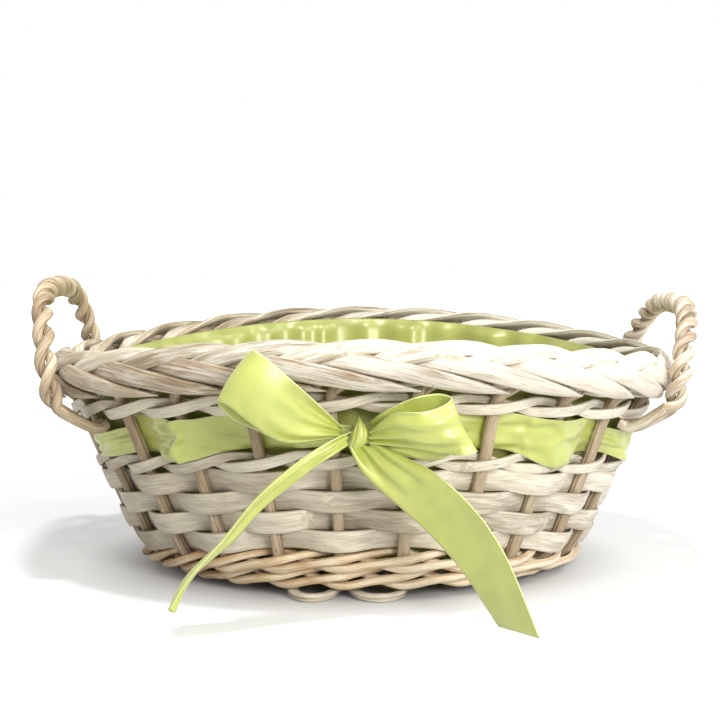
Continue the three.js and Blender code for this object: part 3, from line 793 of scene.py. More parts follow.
# Flat strips, over one stake and under the next. The wall leans out, so a strip is
# pressed down a little behind a stake and up in front of one, and hides the gaps.
for row in range(STRIP_ROWS):
    up = STRIP_START + STRIP_PITCH * (row + 0.5)
    first = 1 if row % 2 == 0 else -1

    def strip_station(pitches, angle):
        side = first * over_under(pitches)
        inside, outside = np.clip(-side, 0, 1), np.clip(side, 0, 1)
        down = inside * (STRIP_PRESS if row else FIRST_STRIP_PRESS)
        lift = STRIP_LIFT * outside
        half_width = STRIP_HEIGHT / 2 + down + lift
        return woven_at(
            angle, up, STRIP_OUT * side, STRIP_THICKNESS, half_width, lift - down
        )

    path = ring_path(14, strip_station, sizes=(0.99, 1.03), start=13 - row % 2)
    weave_strand(f"flat_weaver_{row + 1}", "strip", path, "grey_strip", closed=True, seed=row)


# Two courses of waling, each of three rods. A rod lies outside two stakes, one row
# higher at the second, and inside the third. One row of the table for each half pitch.
WALE_SHARES = np.array([(-1, 0.5), (0, 0), (1, 0), (1, 0.5), (1, 1), (0, 1)])


def round_table(table, place):
    """Values of a table that runs round and round, on a smooth line through its rows."""
    low = np.floor(place).astype(int)
    p0, p1, p2, p3 = (table[(low + k) % len(table)] for k in (-1, 0, 1, 2))
    return curve_between(p1, p2, (p2 - p0) / 2, (p3 - p1) / 2, (place - low)[:, None])


for number in range(WALE_COURSES * WALE_RODS):
    course, rod = divmod(number, WALE_RODS)

    def wale_station(pitches, angle):
        passed = pitches + STAKES - rod - course
        out_share, row = round_table(WALE_SHARES, passed * 2).T
        up = WALE_START + WALE_PITCH * ((WALE_RODS - 1) * course + row)
        half_width = WALE_DIAMETER / 2 * between(0.9, 1.14, eased(out_share, -0.2, 1))
        return woven_at(angle, up, WALE_OUT * out_share, WALE_DIAMETER, half_width)

    path = ring_path(12, wale_station, start=12 + (rod + course) % WALE_RODS)
    weave_strand(
        f"wale_rod_{number + 1}", "rod", path, "honey_rod", closed=True, seed=20 + number
    )

# Pairs of strands that twist round each other and pinch a stake at each half turn
for node, up in (("upper_twine", UPPER_TWINE), ("under_border_twine", UNDER_TWINE)):
    for strand in range(2):

        def twine_station(pitches, angle):
            turn = np.pi * (pitches + strand)
            shown = (1 + np.cos(turn)) / 2
            climb = np.arcsin(np.clip(0.985 * np.sin(turn), -1, 1)) / (np.pi / 2)
            half_width = TWINE_HEIGHT / 2 * between(1.0, 1.5, shown)
            out, rise = TWINE_OUT * np.cos(turn), TWINE_SWING * 1.1 * climb
            return woven_at(angle, up, out, TWINE_THICKNESS, half_width, rise)

        path = ring_path(14, twine_station, sizes=(0.92, 1.04))
        weave_strand(
            f"{node}_{strand + 1}", "strip", path, "grey_strip", closed=True, seed=30 + strand
        )

# Stakes: up the wall, through the border, and down its outer face to the right.
# Rows of the pitches passed, the turn round the border in degrees, and shares of the
# border's size and of the tip's width
STAKE_TIP_SHARES = [
    (0.12, -97, 1.05, 0.62),
    (0.3, -75, 0.32, 0.56),
    (0.55, 75, 0.16, 0.52),
    (0.67, 54, 0.4, 0.5),
    (0.8, 40, 0.88, 0.62),
    (1.02, 27, 1.24, 0.86),
    (1.4, 11, 1.54, 1),
    (1.9, -9, 1.62, 1),
    (2.4, -30, 1.6, 0.86),
    (2.72, -43, 1.56, 0.55),
    (2.97, -53, 1.53, 0.08),
]
TIP_FARTHEST_SHARE = max(share for _, _, share, _ in STAKE_TIP_SHARES)
STAKE_RISE_SHARES = [0, 0.09, 0.17, 0.22, 0.27, 0.36, 0.68, 1]


def stake_knots(index):
    """Rows of middle, out, half thickness, half width and whitewash up one stake."""
    angle = float(stake_angle(index))
    foot = on_wall(angle, 0.0, 0.0)
    start = foot + around(angle, -STAKE_FOOT_REACH, 0.0)
    rows = [[*start, 0, 0, -1, STAKE_RADIUS, STAKE_RADIUS, 0]]
    for rise in STAKE_RISE_SHARES:
        up = rise * WEAVE_TOP
        rows.append(
            [*on_wall(angle, up, 0.0), *wall_out(angle, up), STAKE_RADIUS, STAKE_RADIUS * 1.16, 0]
        )
    for passed, turn_degrees, share, size_share in STAKE_TIP_SHARES:
        turn = math.radians(turn_degrees)
        place = angle + passed * PITCH
        flat = float(eased(passed, 0.1, 1))
        tip = between(0.25, 1.0, float(eased(2.97 - passed, 0, 0.5)))
        facing = math.pi + turn if passed < 0.5 else turn
        rows.append(
            [
                *on_plait(place, turn, share),
                *around(place, math.cos(facing), math.sin(facing)),
                between(STAKE_DIAMETER, STAKE_TIP_THICKNESS, flat) / 2 * tip,
                between(STAKE_DIAMETER, STROKE_WIDTH * size_share, flat) / 2,
                float(eased(passed, 0.1, 0.6)),
            ]
        )
    return rows


for index in range(STAKES):
    rows = flow_through(stake_knots(index), 132)
    path = {
        "middle": rows[:, :3],
        "out": rows[:, 3:6],
        "half_thickness": rows[:, 6],
        "half_width": rows[:, 7] * draws.uniform(0.94, 1.05),
        "tint": draws.uniform(0.15, 0.85),
        # Whitewash on the tips, raised by painted light on the right and lowered by painted shade
        # on the left
        "whitewash_and_painted_light": rows[:, 8] * (0.45 + painted_right_light(rows[:, :3])),
    }
    weave_strand(f"stake_{index + 1:02d}", "leaf", path, "stake_rod", seed=40 + index)

# Border strands: four rods wound round the rim, wide on the top and the inner side
PLAIT_FIRST_TURN = math.radians(27.8)
SLOW_TURN, TOP_TURN, BROAD_TURN = map(math.radians, (55, 30, 75))
for strand in range(PLAIT_STRANDS):

    def plait_station(pitches, angle):
        # The turn is slow on the outer top edge, where a strand is broad and on top
        wound = PLAIT_FIRST_TURN + (pitches - strand) * 2 * np.pi / PLAIT_STRANDS
        turn = wound - 0.6 * np.sin(wound - SLOW_TURN)
        on_top = eased(np.cos(wound - TOP_TURN), -0.1, 0.9)
        broad = eased(np.cos(wound - BROAD_TURN), -0.4, 0.5)
        return {
            "middle": on_plait(angle, turn, 1.0 + 0.46 * on_top),
            "out": around(angle, np.cos(turn - 0.15), np.sin(turn - 0.15)),
            "half_thickness": STROKE_THICKNESS / 2,
            "half_width": between(STRAND_NARROW, STRAND_BROAD, broad) / 2,
        }

    path = ring_path(12, plait_station, whitewash_and_painted_light=0.35)
    weave_strand(
        f"border_strand_{strand + 1}", "leaf", path, "pale_border", closed=True, seed=70 + strand
    )

# Base: two sticks laid over three others, then fanned out like spokes
BASE_TURN = STAKE_TURN + PITCH / 2
SPOKE_TURN = 2 * math.pi / BASE_SPOKES
SLATH_STEP = BASE_STICK_DIAMETER + WEAVE_GAP
SLATH_HALF = 2.4 * SLATH_STEP
FAN_END = BASE_WEAVER_START - BASE_WEAVER_WIDTH / 2


def base_edge(angle):
    return between(FOOT_RADIUS, END_FOOT_RADIUS, np.sin(angle) ** 2)


def stick_reach(angle):
    """Just short of the base's edge, or in front of the stake's foot that the stick meets."""
    edge = base_edge(angle)
    pitches = (angle - STAKE_TURN) / PITCH
    away = np.abs(pitches - np.round(pitches)) * PITCH * (edge - STAKE_FOOT_REACH)
    meets = away < (STAKE_DIAMETER + BASE_STICK_DIAMETER) / 2 + WEAVE_GAP
    return edge - np.where(meets, STAKE_FOOT_REACH + WEAVE_GAP, BASE_STICK_SHORT)


def spoke_height(angle, radius):
    whole_way = base_edge(angle) - BASE_STICK_SHORT - BASE_WEAVER_START
    share = (radius - BASE_WEAVER_START) / whole_way
    low = BASE_WEAVER_RISE + BASE_WEAVER_THICKNESS
    return between(low, FOOT_HEIGHT, np.clip(share, 0, 1))


STICK_SIDES = {
    "lower": {"first": -1, "second": 0, "third": 1},
    "upper": {"first": -0.5, "second": 0.5},
}
for layer, (level, painted_side_shade) in enumerate(STICK_SIDES.items()):
    for place_name, side in painted_side_shade.items():
        cross_height = BASE_STICK_DIAMETER / 2 + layer * SLATH_STEP
        heading = BASE_TURN + layer * math.pi / 2

        def spoke(end, radius=None):
            angle = heading + (side * SPOKE_TURN if end > 0 else math.pi - side * SPOKE_TURN)
            reach = radius or float(stick_reach(angle))
            return around(angle, reach, spoke_height(angle, reach))

        across = around(heading + math.pi / 2, side * SLATH_STEP, cross_height)
        corners = [
            spoke(-1), spoke(-1, FAN_END),
            across + around(heading, -SLATH_HALF, 0.0), across + around(heading, SLATH_HALF, 0.0),
            spoke(1, FAN_END), spoke(1),
        ]
        # Straight between the corners and rounded a little at each one
        steps = np.linspace(0, 0.94, 9)[:, None]
        straight = [between(a, b, steps) for a, b in zip(corners, corners[1:])]
        path = {
            "middle": np.vstack([*straight, corners[-1]]),
            "out": np.array([0, 0, -1.0]),
            "half_thickness": BASE_STICK_DIAMETER / 2,
            "half_width": BASE_STICK_DIAMETER / 2,
            "tint": draws.uniform(0.2, 0.8),
        }
        weave_strand(
            f"base_stick_{level}_{place_name}", "rod", path, "base_stick",
            seed=80 + int(layer * 3 + side + 1),
        )

# Base weaver: one flat strip wound outwards over and under the spokes. It passes two
# spokes on the same side once a round, so that the next round lies the other way.
BASE_WEAVER_STEP = BASE_WEAVER_WIDTH + 2 * WEAVE_GAP
rounds = (BASE_WEAVER_END - BASE_WEAVER_START) / BASE_WEAVER_STEP
last = math.floor(rounds * BASE_SPOKES)
passed = np.linspace(0, last, last * 10 + 1)
spoke_before = np.minimum(np.floor(passed), last - 1)


def side_at(spoke):
    return np.where((spoke + np.floor(spoke / BASE_SPOKES)) % 2 == 0, 1.0, -1.0)


on_way = eased(passed - spoke_before, 0, 1)
swing = between(side_at(spoke_before), side_at(spoke_before + 1), on_way)
radius = BASE_WEAVER_START + BASE_WEAVER_STEP * passed / BASE_SPOKES
angle = BASE_TURN + passed * SPOKE_TURN
weave_strand(
    "base_weaver", "strip",
    {
        "middle": around(angle, radius, spoke_height(angle, radius) + swing * BASE_WEAVER_RISE),
        "out": np.array([0, 0, 1.0]),
        "half_thickness": BASE_WEAVER_THICKNESS / 2,
        "half_width": BASE_WEAVER_WIDTH / 2,
        "tint": between(0.25, 0.75, eased(np.sin(passed * 0.31), -0.3, 0.3)),
    },
    "grey_strip", seed=90,
)

# Foot strand: a grey strand under three stakes' feet that bulges out past the first
# rod between them. Shares of the way on, out and up, and of the thickness.
FOOT_SHARES = [
    (0, 0.1, 1, 0.2), (0.1, 0.4, 0.85, 0.4), (0.2, 0.72, 0.5, 0.7), (0.34, 0.94, 0.12, 0.9),
    (0.5, 1.06, 0, 1), (0.66, 0.96, 0.1, 0.9), (0.8, 0.74, 0.45, 0.7), (0.9, 0.4, 0.85, 0.4),
]


def foot_place(stake, way, outward, upward, swell):
    angle = float(stake_angle(stake + way))
    rod = on_wall(angle, WALE_START, WALE_OUT)
    bulge = math.hypot(rod[0], rod[1]) + FOOT_LOOP_REACH
    thick = between(FOOT_LOOP_THICKNESS, FOOT_LOOP_SWELL, swell) / 2
    under = FOOT_HEIGHT - STAKE_RADIUS - WEAVE_GAP - thick
    inside = FOOT_RADIUS - STAKE_FOOT_REACH / 2
    return [*around(angle, between(inside, bulge, outward), between(thick, under, upward)), thick]


rows = [foot_place(-1, *shares) for shares in FOOT_SHARES]
rows += [
    foot_place(0.08, 1.12 * way, 0.9 * outward, *rest) for way, outward, *rest in FOOT_SHARES
]
rows = flow_through(rows + [foot_place(1.22, *FOOT_SHARES[0])], 140)
weave_strand(
    "foot_strand", "leaf",
    {
        "middle": rows[:, :3],
        "out": np.array([0, 0, -1.0]),
        "half_thickness": rows[:, 3],
        "half_width": FOOT_LOOP_WIDTH / 2 * between(1.0, 1.25, eased(rows[:, 3], 1.0, 1.7)),
        "tint": 0.5,
        "whitewash_and_painted_light": 0.1,
    },
    "grey_strip", seed=94,
)

# Handles: two rods twisted into a rope, hooked under the border at both ends
rope_radius = HANDLE_DIAMETER + HANDLE_GAP / 2
leg_clearance = STAKE_TIP_THICKNESS / 2 + HANDLE_CLEARANCE + rope_radius
leg_share = TIP_FARTHEST_SHARE + leg_clearance / PLAIT_HALF_WIDTH
leg_under = BAND_END - HANDLE_DIAMETER / 2 - WEAVE_GAP
LEG_SHARES = [(-62, 0.93), (-34, 1), (-2, 1)]
ARCH_SHARES = [(0.055, 0.35, 0.45), (0.2, 0.8, 0.88), (0.5, 1, 1)]


def handle_path(near_degrees, far_degrees, apex_reach, apex_rise):
    def leg(degrees):
        angle = math.radians(degrees)
        points = [on_wall(angle, leg_under, 0.0), on_wall(angle, leg_under, STAKE_DIAMETER)]
        return points + [
            on_plait(angle, math.radians(turn), leg_share * share) for turn, share in LEG_SHARES
        ]

    near, far = leg(near_degrees), leg(far_degrees)
    radius, height = border_middle(math.pi / 2)
    apex_x = math.copysign(radius + apex_reach, near_degrees)

    def arch(share, lean, rise):
        point = between(near[-1], far[-1], share)
        point[0] = between(point[0], apex_x, lean)
        point[2] = between(point[2], height + apex_rise, rise)
        return point

    up = [arch(*shares) for shares in ARCH_SHARES]
    down = [arch(1 - share, lean, rise) for share, lean, rise in ARCH_SHARES[:-1]]
    return np.array([*near, *up, *down[::-1], *far[::-1]])


def turned(vectors, axis, angle):
    """Vectors turned round unit axes."""
    cosine, sine = np.cos(angle)[:, None], np.sin(angle)[:, None]
    along = (vectors * axis).sum(1, keepdims=True)
    return vectors * cosine + np.cross(axis, vectors) * sine + axis * along * (1 - cosine)


def roundwards(point):
    return unit(np.array([-point[1], point[0], 0.0]))


def twisted_rods(knots, turns):
    """The two rods of a handle as paths, side by side at both ends and twisted between."""
    count = int(turns * 40)
    points = evenly_along(flow_through(knots, 4001), count + 1)
    along = headings(points, False)
    sideways = [roundwards(points[0])]
    for i in range(count):
        axis = np.cross(along[i], along[i + 1])
        size = np.linalg.norm(axis)
        turn = math.atan2(size, along[i] @ along[i + 1])
        carried = turned(sideways[-1][None], (axis / max(size, 1e-12))[None], np.array([turn]))[0]
        sideways.append(unit(carried - along[i + 1] * (carried @ along[i + 1])))
    sideways = np.array(sideways)
    goal = roundwards(points[-1])
    lag = math.atan2(np.cross(sideways[-1], goal) @ along[-1], sideways[-1] @ goal)
    share = np.linspace(0, 1, count + 1)
    twist = np.clip((share - 0.1) / 0.8, 0, 1)
    for rod in range(2):
        out = turned(sideways, along, 2 * np.pi * turns * twist + lag * share + np.pi * rod)
        yield {
            "middle": points + out * (HANDLE_DIAMETER + HANDLE_GAP) / 2,
            "out": out,
            "half_thickness": HANDLE_DIAMETER / 2,
            "half_width": HANDLE_DIAMETER / 2,
        }


# Side, where both legs stand in degrees from the bow, how far the top reaches out and up
# from the border's middle in mm, and turns of the twist
for side, degrees, reach, rise, turns in (
    ("left", (-61, -117.5), 6.5, 43.7, 8), ("right", (64, 118), 12, 35.2, 10),
):
    for rod, path in enumerate(twisted_rods(handle_path(*degrees, reach, rise), turns)):
        path["tint"] = 0.3 + 0.35 * rod
        # Painted light and shade: the handles are paler towards the right and darker towards the
        # left
        path["whitewash_and_painted_light"] = 0.6 * painted_right_light(path["middle"])
        weave_strand(
            f"handle_{side}_rod_{rod + 1}", "rod", path, "handle_rod",
            seed=100 + 2 * turns + rod,
        )


# ------------------------------------------------------------------ satin pieces
def cloth_object(name, points, faces, corner_places, from_edge, material):
    """A mesh from places in mm, with its corners' places on the flat cloth in mm and each
    point's distance from the cloth's edge."""
    mesh = bpy.data.meshes.new(name)
    mesh.from_pydata((points * MM).tolist(), [], faces)
    layer = mesh.uv_layers.new(name="cloth")
    layer.data.foreach_set("uv", corner_places.astype(np.float32).ravel())
    keep_on_points(mesh, "from_edge", from_edge.ravel() * MM)
    mesh.shade_smooth()
    mesh.materials.append(material)
    return add_object(name, mesh)


def cell_corners(table):
    """The values of a grid at the four corners of each of its cells."""
    return np.stack([table[:-1, :-1], table[:-1, 1:], table[1:, 1:], table[1:, :-1]], -1)


def make_cloth(name, grid, material, along_mm, across_mm, from_edge, closed=False):
    """A sheet from a grid of places in mm, with its own UV map in mm along and across."""
    shape = grid.shape[:2]
    along_mm, across_mm, from_edge = (
        np.broadcast_to(table, shape) for table in (along_mm, across_mm, from_edge)
    )
    number = np.arange(shape[0] * shape[1]).reshape(shape)
    if closed:
        number = np.hstack([number, number[:, :1]])
        along_mm = np.hstack([along_mm, along_mm[:, :1]])
        across_mm = np.hstack([across_mm, across_mm[:, -1:] * 2 - across_mm[:, -2:-1]])
    faces = cell_corners(number).reshape(-1, 4).tolist()
    corner_places = np.stack([cell_corners(along_mm), cell_corners(across_mm)], -1)
    piece = cloth_object(name, grid.reshape(-1, 3), faces, corner_places, from_edge, material)
    solid = piece.modifiers.new("cloth thickness", "SOLIDIFY")
    solid.thickness = SATIN_THICKNESS * MM
    solid.offset = 0
    return piece


def grid_normals(grid):
    return unit(np.cross(np.gradient(grid, axis=0), np.gradient(grid, axis=1)))


def spare_cloth(width):
    """How deep a ribbon can fold where it is drawn to a smaller width in mm, 0 to 1."""
    return np.sqrt(np.clip(1 - (width / RIBBON_WIDTH) ** 2, 0, 1))


def lay_ribbon(name, grid):
    """A length of ribbon over a grid of places. Returns it and its length in mm."""
    columns = grid.shape[1]
    share = np.linspace(0, 1, columns)[None]
    along = distances(grid[:, columns // 2])
    from_edge = (0.5 - np.abs(share - 0.5)) * RIBBON_WIDTH
    piece = make_cloth(
        name, grid, RIBBON_SATIN, along[:, None], share * RIBBON_WIDTH, from_edge
    )
    return piece, along[-1]


def make_lining():
    """A round of satin gathered below the border."""
    columns, rows = LINING_GRID
    angle = np.arange(columns) / columns * 2 * np.pi
    # How far the cloth's middle stays off what it lies against
    off = LINING_GAP + LINING_THICKNESS / 2
    wale_inside = WALE_OUT + WALE_DIAMETER / 2 + off
    weave_inside = STRIP_OUT + STRIP_THICKNESS / 2 + off
    plait_inside = PLAIT_HALF_WIDTH + PLAIT_THICKNESS / 2 + off
    floor_middle = 2 * SLATH_STEP + off
    floor_edge = FOOT_HEIGHT + BASE_WEAVER_RISE + LINING_GAP + off
    profile = [
        around(angle, 0.3, floor_middle),
        around(angle, BASE_WEAVER_END / 2, between(floor_middle, floor_edge, 0.5)),
        around(angle, BASE_WEAVER_END, floor_edge),
    ]
    for inside, up_shares in (
        (wale_inside, (0.02, 0.11, 0.198)), (weave_inside, (0.272, 0.45, 0.62, 0.79, 0.96)),
    ):
        profile += [on_wall(angle, share * WEAVE_TOP, -inside) for share in up_shares]
    radius, height = border_middle(angle)
    profile.append(around(angle, radius - plait_inside, height + 1.2))
    profile.append(around(angle, radius - plait_inside + LINING_LEAN, height + LINING_RISE))
    profile = np.array(profile)
    grid = np.stack([flow_through(profile[:, i], rows) for i in range(columns)], axis=1)
    up = np.linspace(0, 1, rows)[:, None]
    inward = unit(np.stack([-np.sin(angle), np.cos(angle), 0 * angle], -1))[None]
    fold_draws = np.random.default_rng(7)
    depth = np.zeros((rows, columns))
    for i in range(LINING_FOLDS):
        centre = (i + fold_draws.uniform(-0.32, 0.32)) / LINING_FOLDS * 2 * np.pi
        slant = fold_draws.uniform(-0.05, 0.05)
        width = fold_draws.uniform(0.028, 0.05)
        low = fold_draws.uniform(0.3, 0.72)
        size = fold_draws.uniform(1.4, 4.4)
        away = (angle[None] - centre - slant * (1 - up) + np.pi) % (2 * np.pi) - np.pi
        spread = width * (1 + 1.6 * (1 - up))
        fold = size * hump(away, spread)
        depth += fold * eased(up, low, 0.92) * (1 - 0.7 * eased(up, 0.9, 1))
    # Soft wrinkles where the cloth lies on the bottom and turns up the wall
    for _ in range(5):
        waves = fold_draws.integers(3, 14)
        turn = fold_draws.uniform(0, 6.28)
        middle = fold_draws.uniform(0.25, 0.6)
        wrinkle = np.cos(waves * angle[None] + turn + 4 * up)
        depth += 0.5 * wrinkle * hump(up - middle, 0.12)
    grid = grid + inward * np.maximum(depth, 0)[..., None] * eased(up, 0.2, 0.5)[..., None]
    # The floor rises in low soft waves instead
    on_floor = (1 - eased(up, 0.15, 0.35)) * eased(up, 0.02, 0.1)
    grid[..., 2] += 0.6 * on_floor * (1 + np.sin(5 * angle[None] + 9 * up))
    reach = distances(grid)
    return make_cloth(
        "satin_lining", grid[::-1], LINING_SATIN, reach[::-1],
        angle[None] * LINING_MAP_RADIUS, (reach[-1:] - reach)[::-1], closed=True,
    )


lining = make_lining()
settle(lining, ["lining"])

# Ribbon band: woven through the stakes in the open band, both ends at the knot
BEHIND_STAKES = [2, 4, 6, 8, 10, 12, 13, 15, 17, 19, 21, 23]
RIBBON_OUT = STAKE_RADIUS + RIBBON_GAP + RIBBON_THICKNESS / 2
LEG_DEGREES = np.array([64, 118, 360 - 61, 360 - 117.5])
RIBBON_FIRST, RIBBON_LAST, RIBBON_PINCH = 0.33, 24.27, 1.1


def ribbon_side(pitches):
    nearest = np.round(pitches)
    away = np.abs(pitches - nearest)
    stakes = np.stack([nearest, nearest + np.sign(pitches - nearest)])
    here, beyond = np.where(np.isin(stakes, BEHIND_STAKES), -1.0, 1.0)
    share = np.sin(np.pi / 2 * np.clip((0.5 - away) * 2.5, 0, 1))
    return share * here + (1 - share) * (here + beyond) / 2


def make_ribbon_band():
    along_count, across_count = 720, 26
    pitches = np.linspace(RIBBON_FIRST, RIBBON_LAST, along_count)
    angle = stake_angle(pitches)
    degrees = np.degrees(angle)
    leg_away = np.abs(LEG_DEGREES[:, None] - degrees[None]).min(axis=0)
    dip = (HANDLE_DIAMETER + 2 * RIBBON_GAP) * (1 - eased(leg_away, 6.5, 13))
    knot_away = np.minimum(pitches - RIBBON_FIRST, RIBBON_LAST - pitches)
    pinch = eased(knot_away, 0, RIBBON_PINCH)
    full = BAND_HEIGHT - 2 * RIBBON_GAP
    height = between(KNOT_HEIGHT / 2, full, pinch) - dip
    lift = (1 - pinch) * (BAND_HEIGHT - KNOT_HEIGHT / 2) / 2
    middle_up = BAND_START + RIBBON_GAP + height / 2 + lift
    across = np.linspace(-1, 1, across_count)[None]
    pitch = pitches[:, None]
    up = middle_up[:, None] + across * height[:, None] / 2
    # Folds of the spare width: they lean one way between two stakes, and shift in the next
    fold_draws = np.random.default_rng(11)
    lean, shift, size = (
        np.interp(pitches, np.arange(26), fold_draws.uniform(low, high, 26))[:, None]
        for low, high in ((-2.6, 2.6), (0, 6.28), (0.5, 1.0))
    )
    slack = spare_cloth(height)[:, None]
    wave = np.sin(np.pi * 1.7 * across + shift + lean * (pitch - np.round(pitch)) * 2)
    fine = np.sin(np.pi * 3.3 * across + 2.1 * shift + 5.1 * pitch)
    near = 1 - 0.75 * hump(pitch - np.round(pitch), 0.16)
    ripple = (1.6 * wave * size + 0.45 * fine) * slack * near * (1 - across**6 * 0.4)
    zigzag = 0.07 * np.sin(np.pi * 1.6 * across + 0.7) + 0.05 * across
    # Creases beside some stakes and sags of the lower edge: place in pitches, size in mm
    for place, size_mm in ((21.9, 3.0), (20.0, 1.2), (3.0, 1.3), (5.0, 0.9)):
        away = pitch - place - zigzag
        crease = hump(away, 0.07) - 0.6 * hump(away + 0.2, 0.12)
        ripple = ripple + size_mm * crease * (1 - 0.5 * across**4)
    out = RIBBON_OUT * ribbon_side(pitches)[:, None] + ripple
    for place, drop in ((3.0, 4.2), (1.1, 2.6), (21.8, 1.6), (5.1, 2.0)):
        sag = hump(pitch - place, 0.36) * np.clip(-across, 0, 1) ** 1.5
        up = up - drop * sag
        out = out + 2.4 * eased(sag, 0, 0.6)
    return lay_ribbon("satin_ribbon_band", on_wall(angle[:, None] + 0 * across, up, out))


band, band_length = make_ribbon_band()
settle(band, ["ribbon_band"])
band_length * MM

# Bow: everything is placed from the middle of the knot
knot_up = (BAND_START + BAND_END) / 2 + RIBBON_WIDTH * 0.1
knot_out = RIBBON_OUT + RIBBON_THICKNESS / 2 + WEAVE_GAP + KNOT_DEPTH / 2
KNOT = on_wall(math.radians(-0.5), knot_up, knot_out)


def ribbon_length(name, edge_shares, hanging, seed, crease, belly):
    """A length of ribbon between two edges, gathered into folds where it is narrow, with
    a crease near one edge and a belly across it. A hanging edge's drop is a share of the
    way to the floor."""
    folds = 2.5
    rise = KNOT[2] - RIBBON_THICKNESS if hanging else RIBBON_WIDTH
    size = np.array([RIBBON_WIDTH, RIBBON_WIDTH, rise])
    first, second = (flow_through(np.array(edge) * size + KNOT, 150) for edge in edge_shares)
    across = np.linspace(0, 1, 30)[None, :, None]
    grid = between(first[:, None], second[:, None], across)
    width = np.linalg.norm(second - first, axis=1)
    slack = spare_cloth(width)
    fold_draws = np.random.default_rng(seed)
    turn = fold_draws.uniform(0, 6.28, 3)
    place = np.linspace(0, 1, len(first))[:, None]
    share = across[..., 0]
    wave = (
        np.sin(2 * np.pi * folds * share + turn[0] + 1.5 * place)
        + 0.5 * np.sin(2 * np.pi * (folds * 0.6) * share + turn[1] - 3 * place)
    )
    reach = (0.07 * width + 0.45)[:, None] * slack[:, None] * wave
    gentle = 1.1 * np.sin(np.pi * share) * np.sin(2 * np.pi * place * 1.4 + turn[2])
    gentle = gentle + belly * np.sin(np.pi * share) * np.sin(2 * np.pi * place) ** 2
    gentle = gentle + crease * np.clip(share - between(0.5, 1.0, eased(place, 0.02, 0.42)), 0, 1)
    if hanging:
        gentle = gentle * (1 - eased(place, 0.7, 0.95))
    return lay_ribbon(name, grid + grid_normals(grid) * (reach + gentle)[..., None])


# Each length's two edges from the knot's middle, in shares of the ribbon's width. For the
# tails the last number is a share of the way to the floor.
BOW_SHARES = {
    "bow_loop_left": [
        [
            (-0.277, -0.02, 0.175), (-0.547, -0.3, 0.327), (-0.988, -0.42, 0.699),
            (-1.529, -0.48, 1.181), (-1.747, -0.53, 1.439), (-1.795, -0.67, 1.564),
            (-1.663, -0.82, 1.538), (-1.241, -0.86, 1.197), (-0.769, -0.62, 0.745),
            (-0.288, -0.2, 0.217),
        ],
        [
            (-0.277, -0.02, 0.002), (-0.787, -0.3, -0.032), (-1.261, -0.4, -0.019),
            (-1.733, -0.48, 0.195), (-2.154, -0.53, 0.405), (-2.377, -0.67, 0.699),
            (-2.183, -0.82, 0.647), (-1.778, -0.86, 0.341), (-1.233, -0.66, 0.005),
            (-0.292, -0.2, 0.024),
        ],
    ],
    "bow_loop_right": [
        [
            (0.224, -0.02, 0.296), (0.444, -0.3, 0.498), (0.92, -0.42, 0.733),
            (1.393, -0.5, 0.817), (1.572, -0.65, 0.756), (1.434, -0.82, 0.649),
            (1.028, -0.97, 0.528), (0.616, -0.78, 0.486), (0.188, -0.22, 0.164),
        ],
        [
            (0.224, -0.02, -0.153), (0.65, -0.25, -0.26), (1.143, -0.36, -0.314),
            (1.784, -0.48, -0.179), (2.011, -0.65, -0.148), (1.815, -0.82, -0.184),
            (1.457, -0.62, -0.154), (0.918, -0.46, -0.075), (0.188, -0.22, -0.059),
        ],
    ],
    "bow_tail_left": [
        [
            (-0.154, -0.3, 0.05), (-0.424, -0.5, 0.022), (-0.961, -0.7, -0.074),
            (-1.684, -1.03, -0.267), (-2.249, -1.27, -0.492), (-2.83, -1.42, -0.71),
            (-3.08, -1.5, -0.852),
        ],
        [
            (-0.188, -0.28, -0.043), (-0.511, -0.4, -0.103), (-0.888, -0.35, -0.171),
            (-1.524, -0.25, -0.344), (-2.1, -0.38, -0.55), (-2.96, -0.56, -0.765),
            (-3.175, -0.75, -0.912),
        ],
    ],
    "bow_tail_right": [
        [
            (-0.156, -0.08, -0.041), (0.068, -0.14, -0.169), (0.599, -0.26, -0.333),
            (1.222, -0.34, -0.514), (1.766, -0.5, -0.704), (2.38, -0.72, -0.994),
        ],
        [
            (0.343, -0.14, -0.027), (0.75, -0.4, -0.082), (1.283, -0.7, -0.16),
            (1.873, -0.98, -0.317), (2.406, -1.2, -0.549), (3.0, -1.6, -0.994),
        ],
    ],
}
for number, (node, edges) in enumerate(BOW_SHARES.items()):
    hanging = "tail" in node
    crease = 3.0 if node == "bow_tail_right" else 0.0
    belly = {"bow_loop_left": -2.6, "bow_loop_right": 2.2}.get(node, 0.0)
    piece, length = ribbon_length(f"satin_{node}", edges, hanging, number, crease, belly)
    settle(piece, [node])
    length * MM


def knot_grid():
    """The ribbon wound once round the bow's middle, its folds running up and over."""
    rows, columns = 64, 96
    side = np.linspace(-1, 1, rows)[:, None]
    turn = np.linspace(0, 2 * np.pi, columns, endpoint=False)[None]
    round_off = np.sqrt(np.clip(1 - np.abs(side) ** 2.4, 0, 1))
    folds = 1 - 0.09 * hump(side - 0.3 - 0.25 * np.sin(turn), 0.1)
    folds = folds - 0.06 * hump(side + 0.45 - 0.1 * np.sin(turn), 0.12)
    y = -np.cos(turn) * KNOT_DEPTH / 2 * round_off * folds
    height = np.sin(turn)
    z = height * np.where(height > 0, 1, 0.58) * KNOT_HEIGHT / 2 * round_off ** 0.6 * folds
    leaf = (1 - 0.85 * np.clip(height, 0, 1) ** 2.2) * (1 - 0.5 * np.clip(-height, 0, 1) ** 2)
    x = side * 4.9 * leaf + 0.9 - 1.5 * (height - 0.4) ** 2
    grid = np.stack([x, y, z], -1) + KNOT
    grid[0], grid[-1] = grid[0].mean(axis=0), grid[-1].mean(axis=0)
    return grid


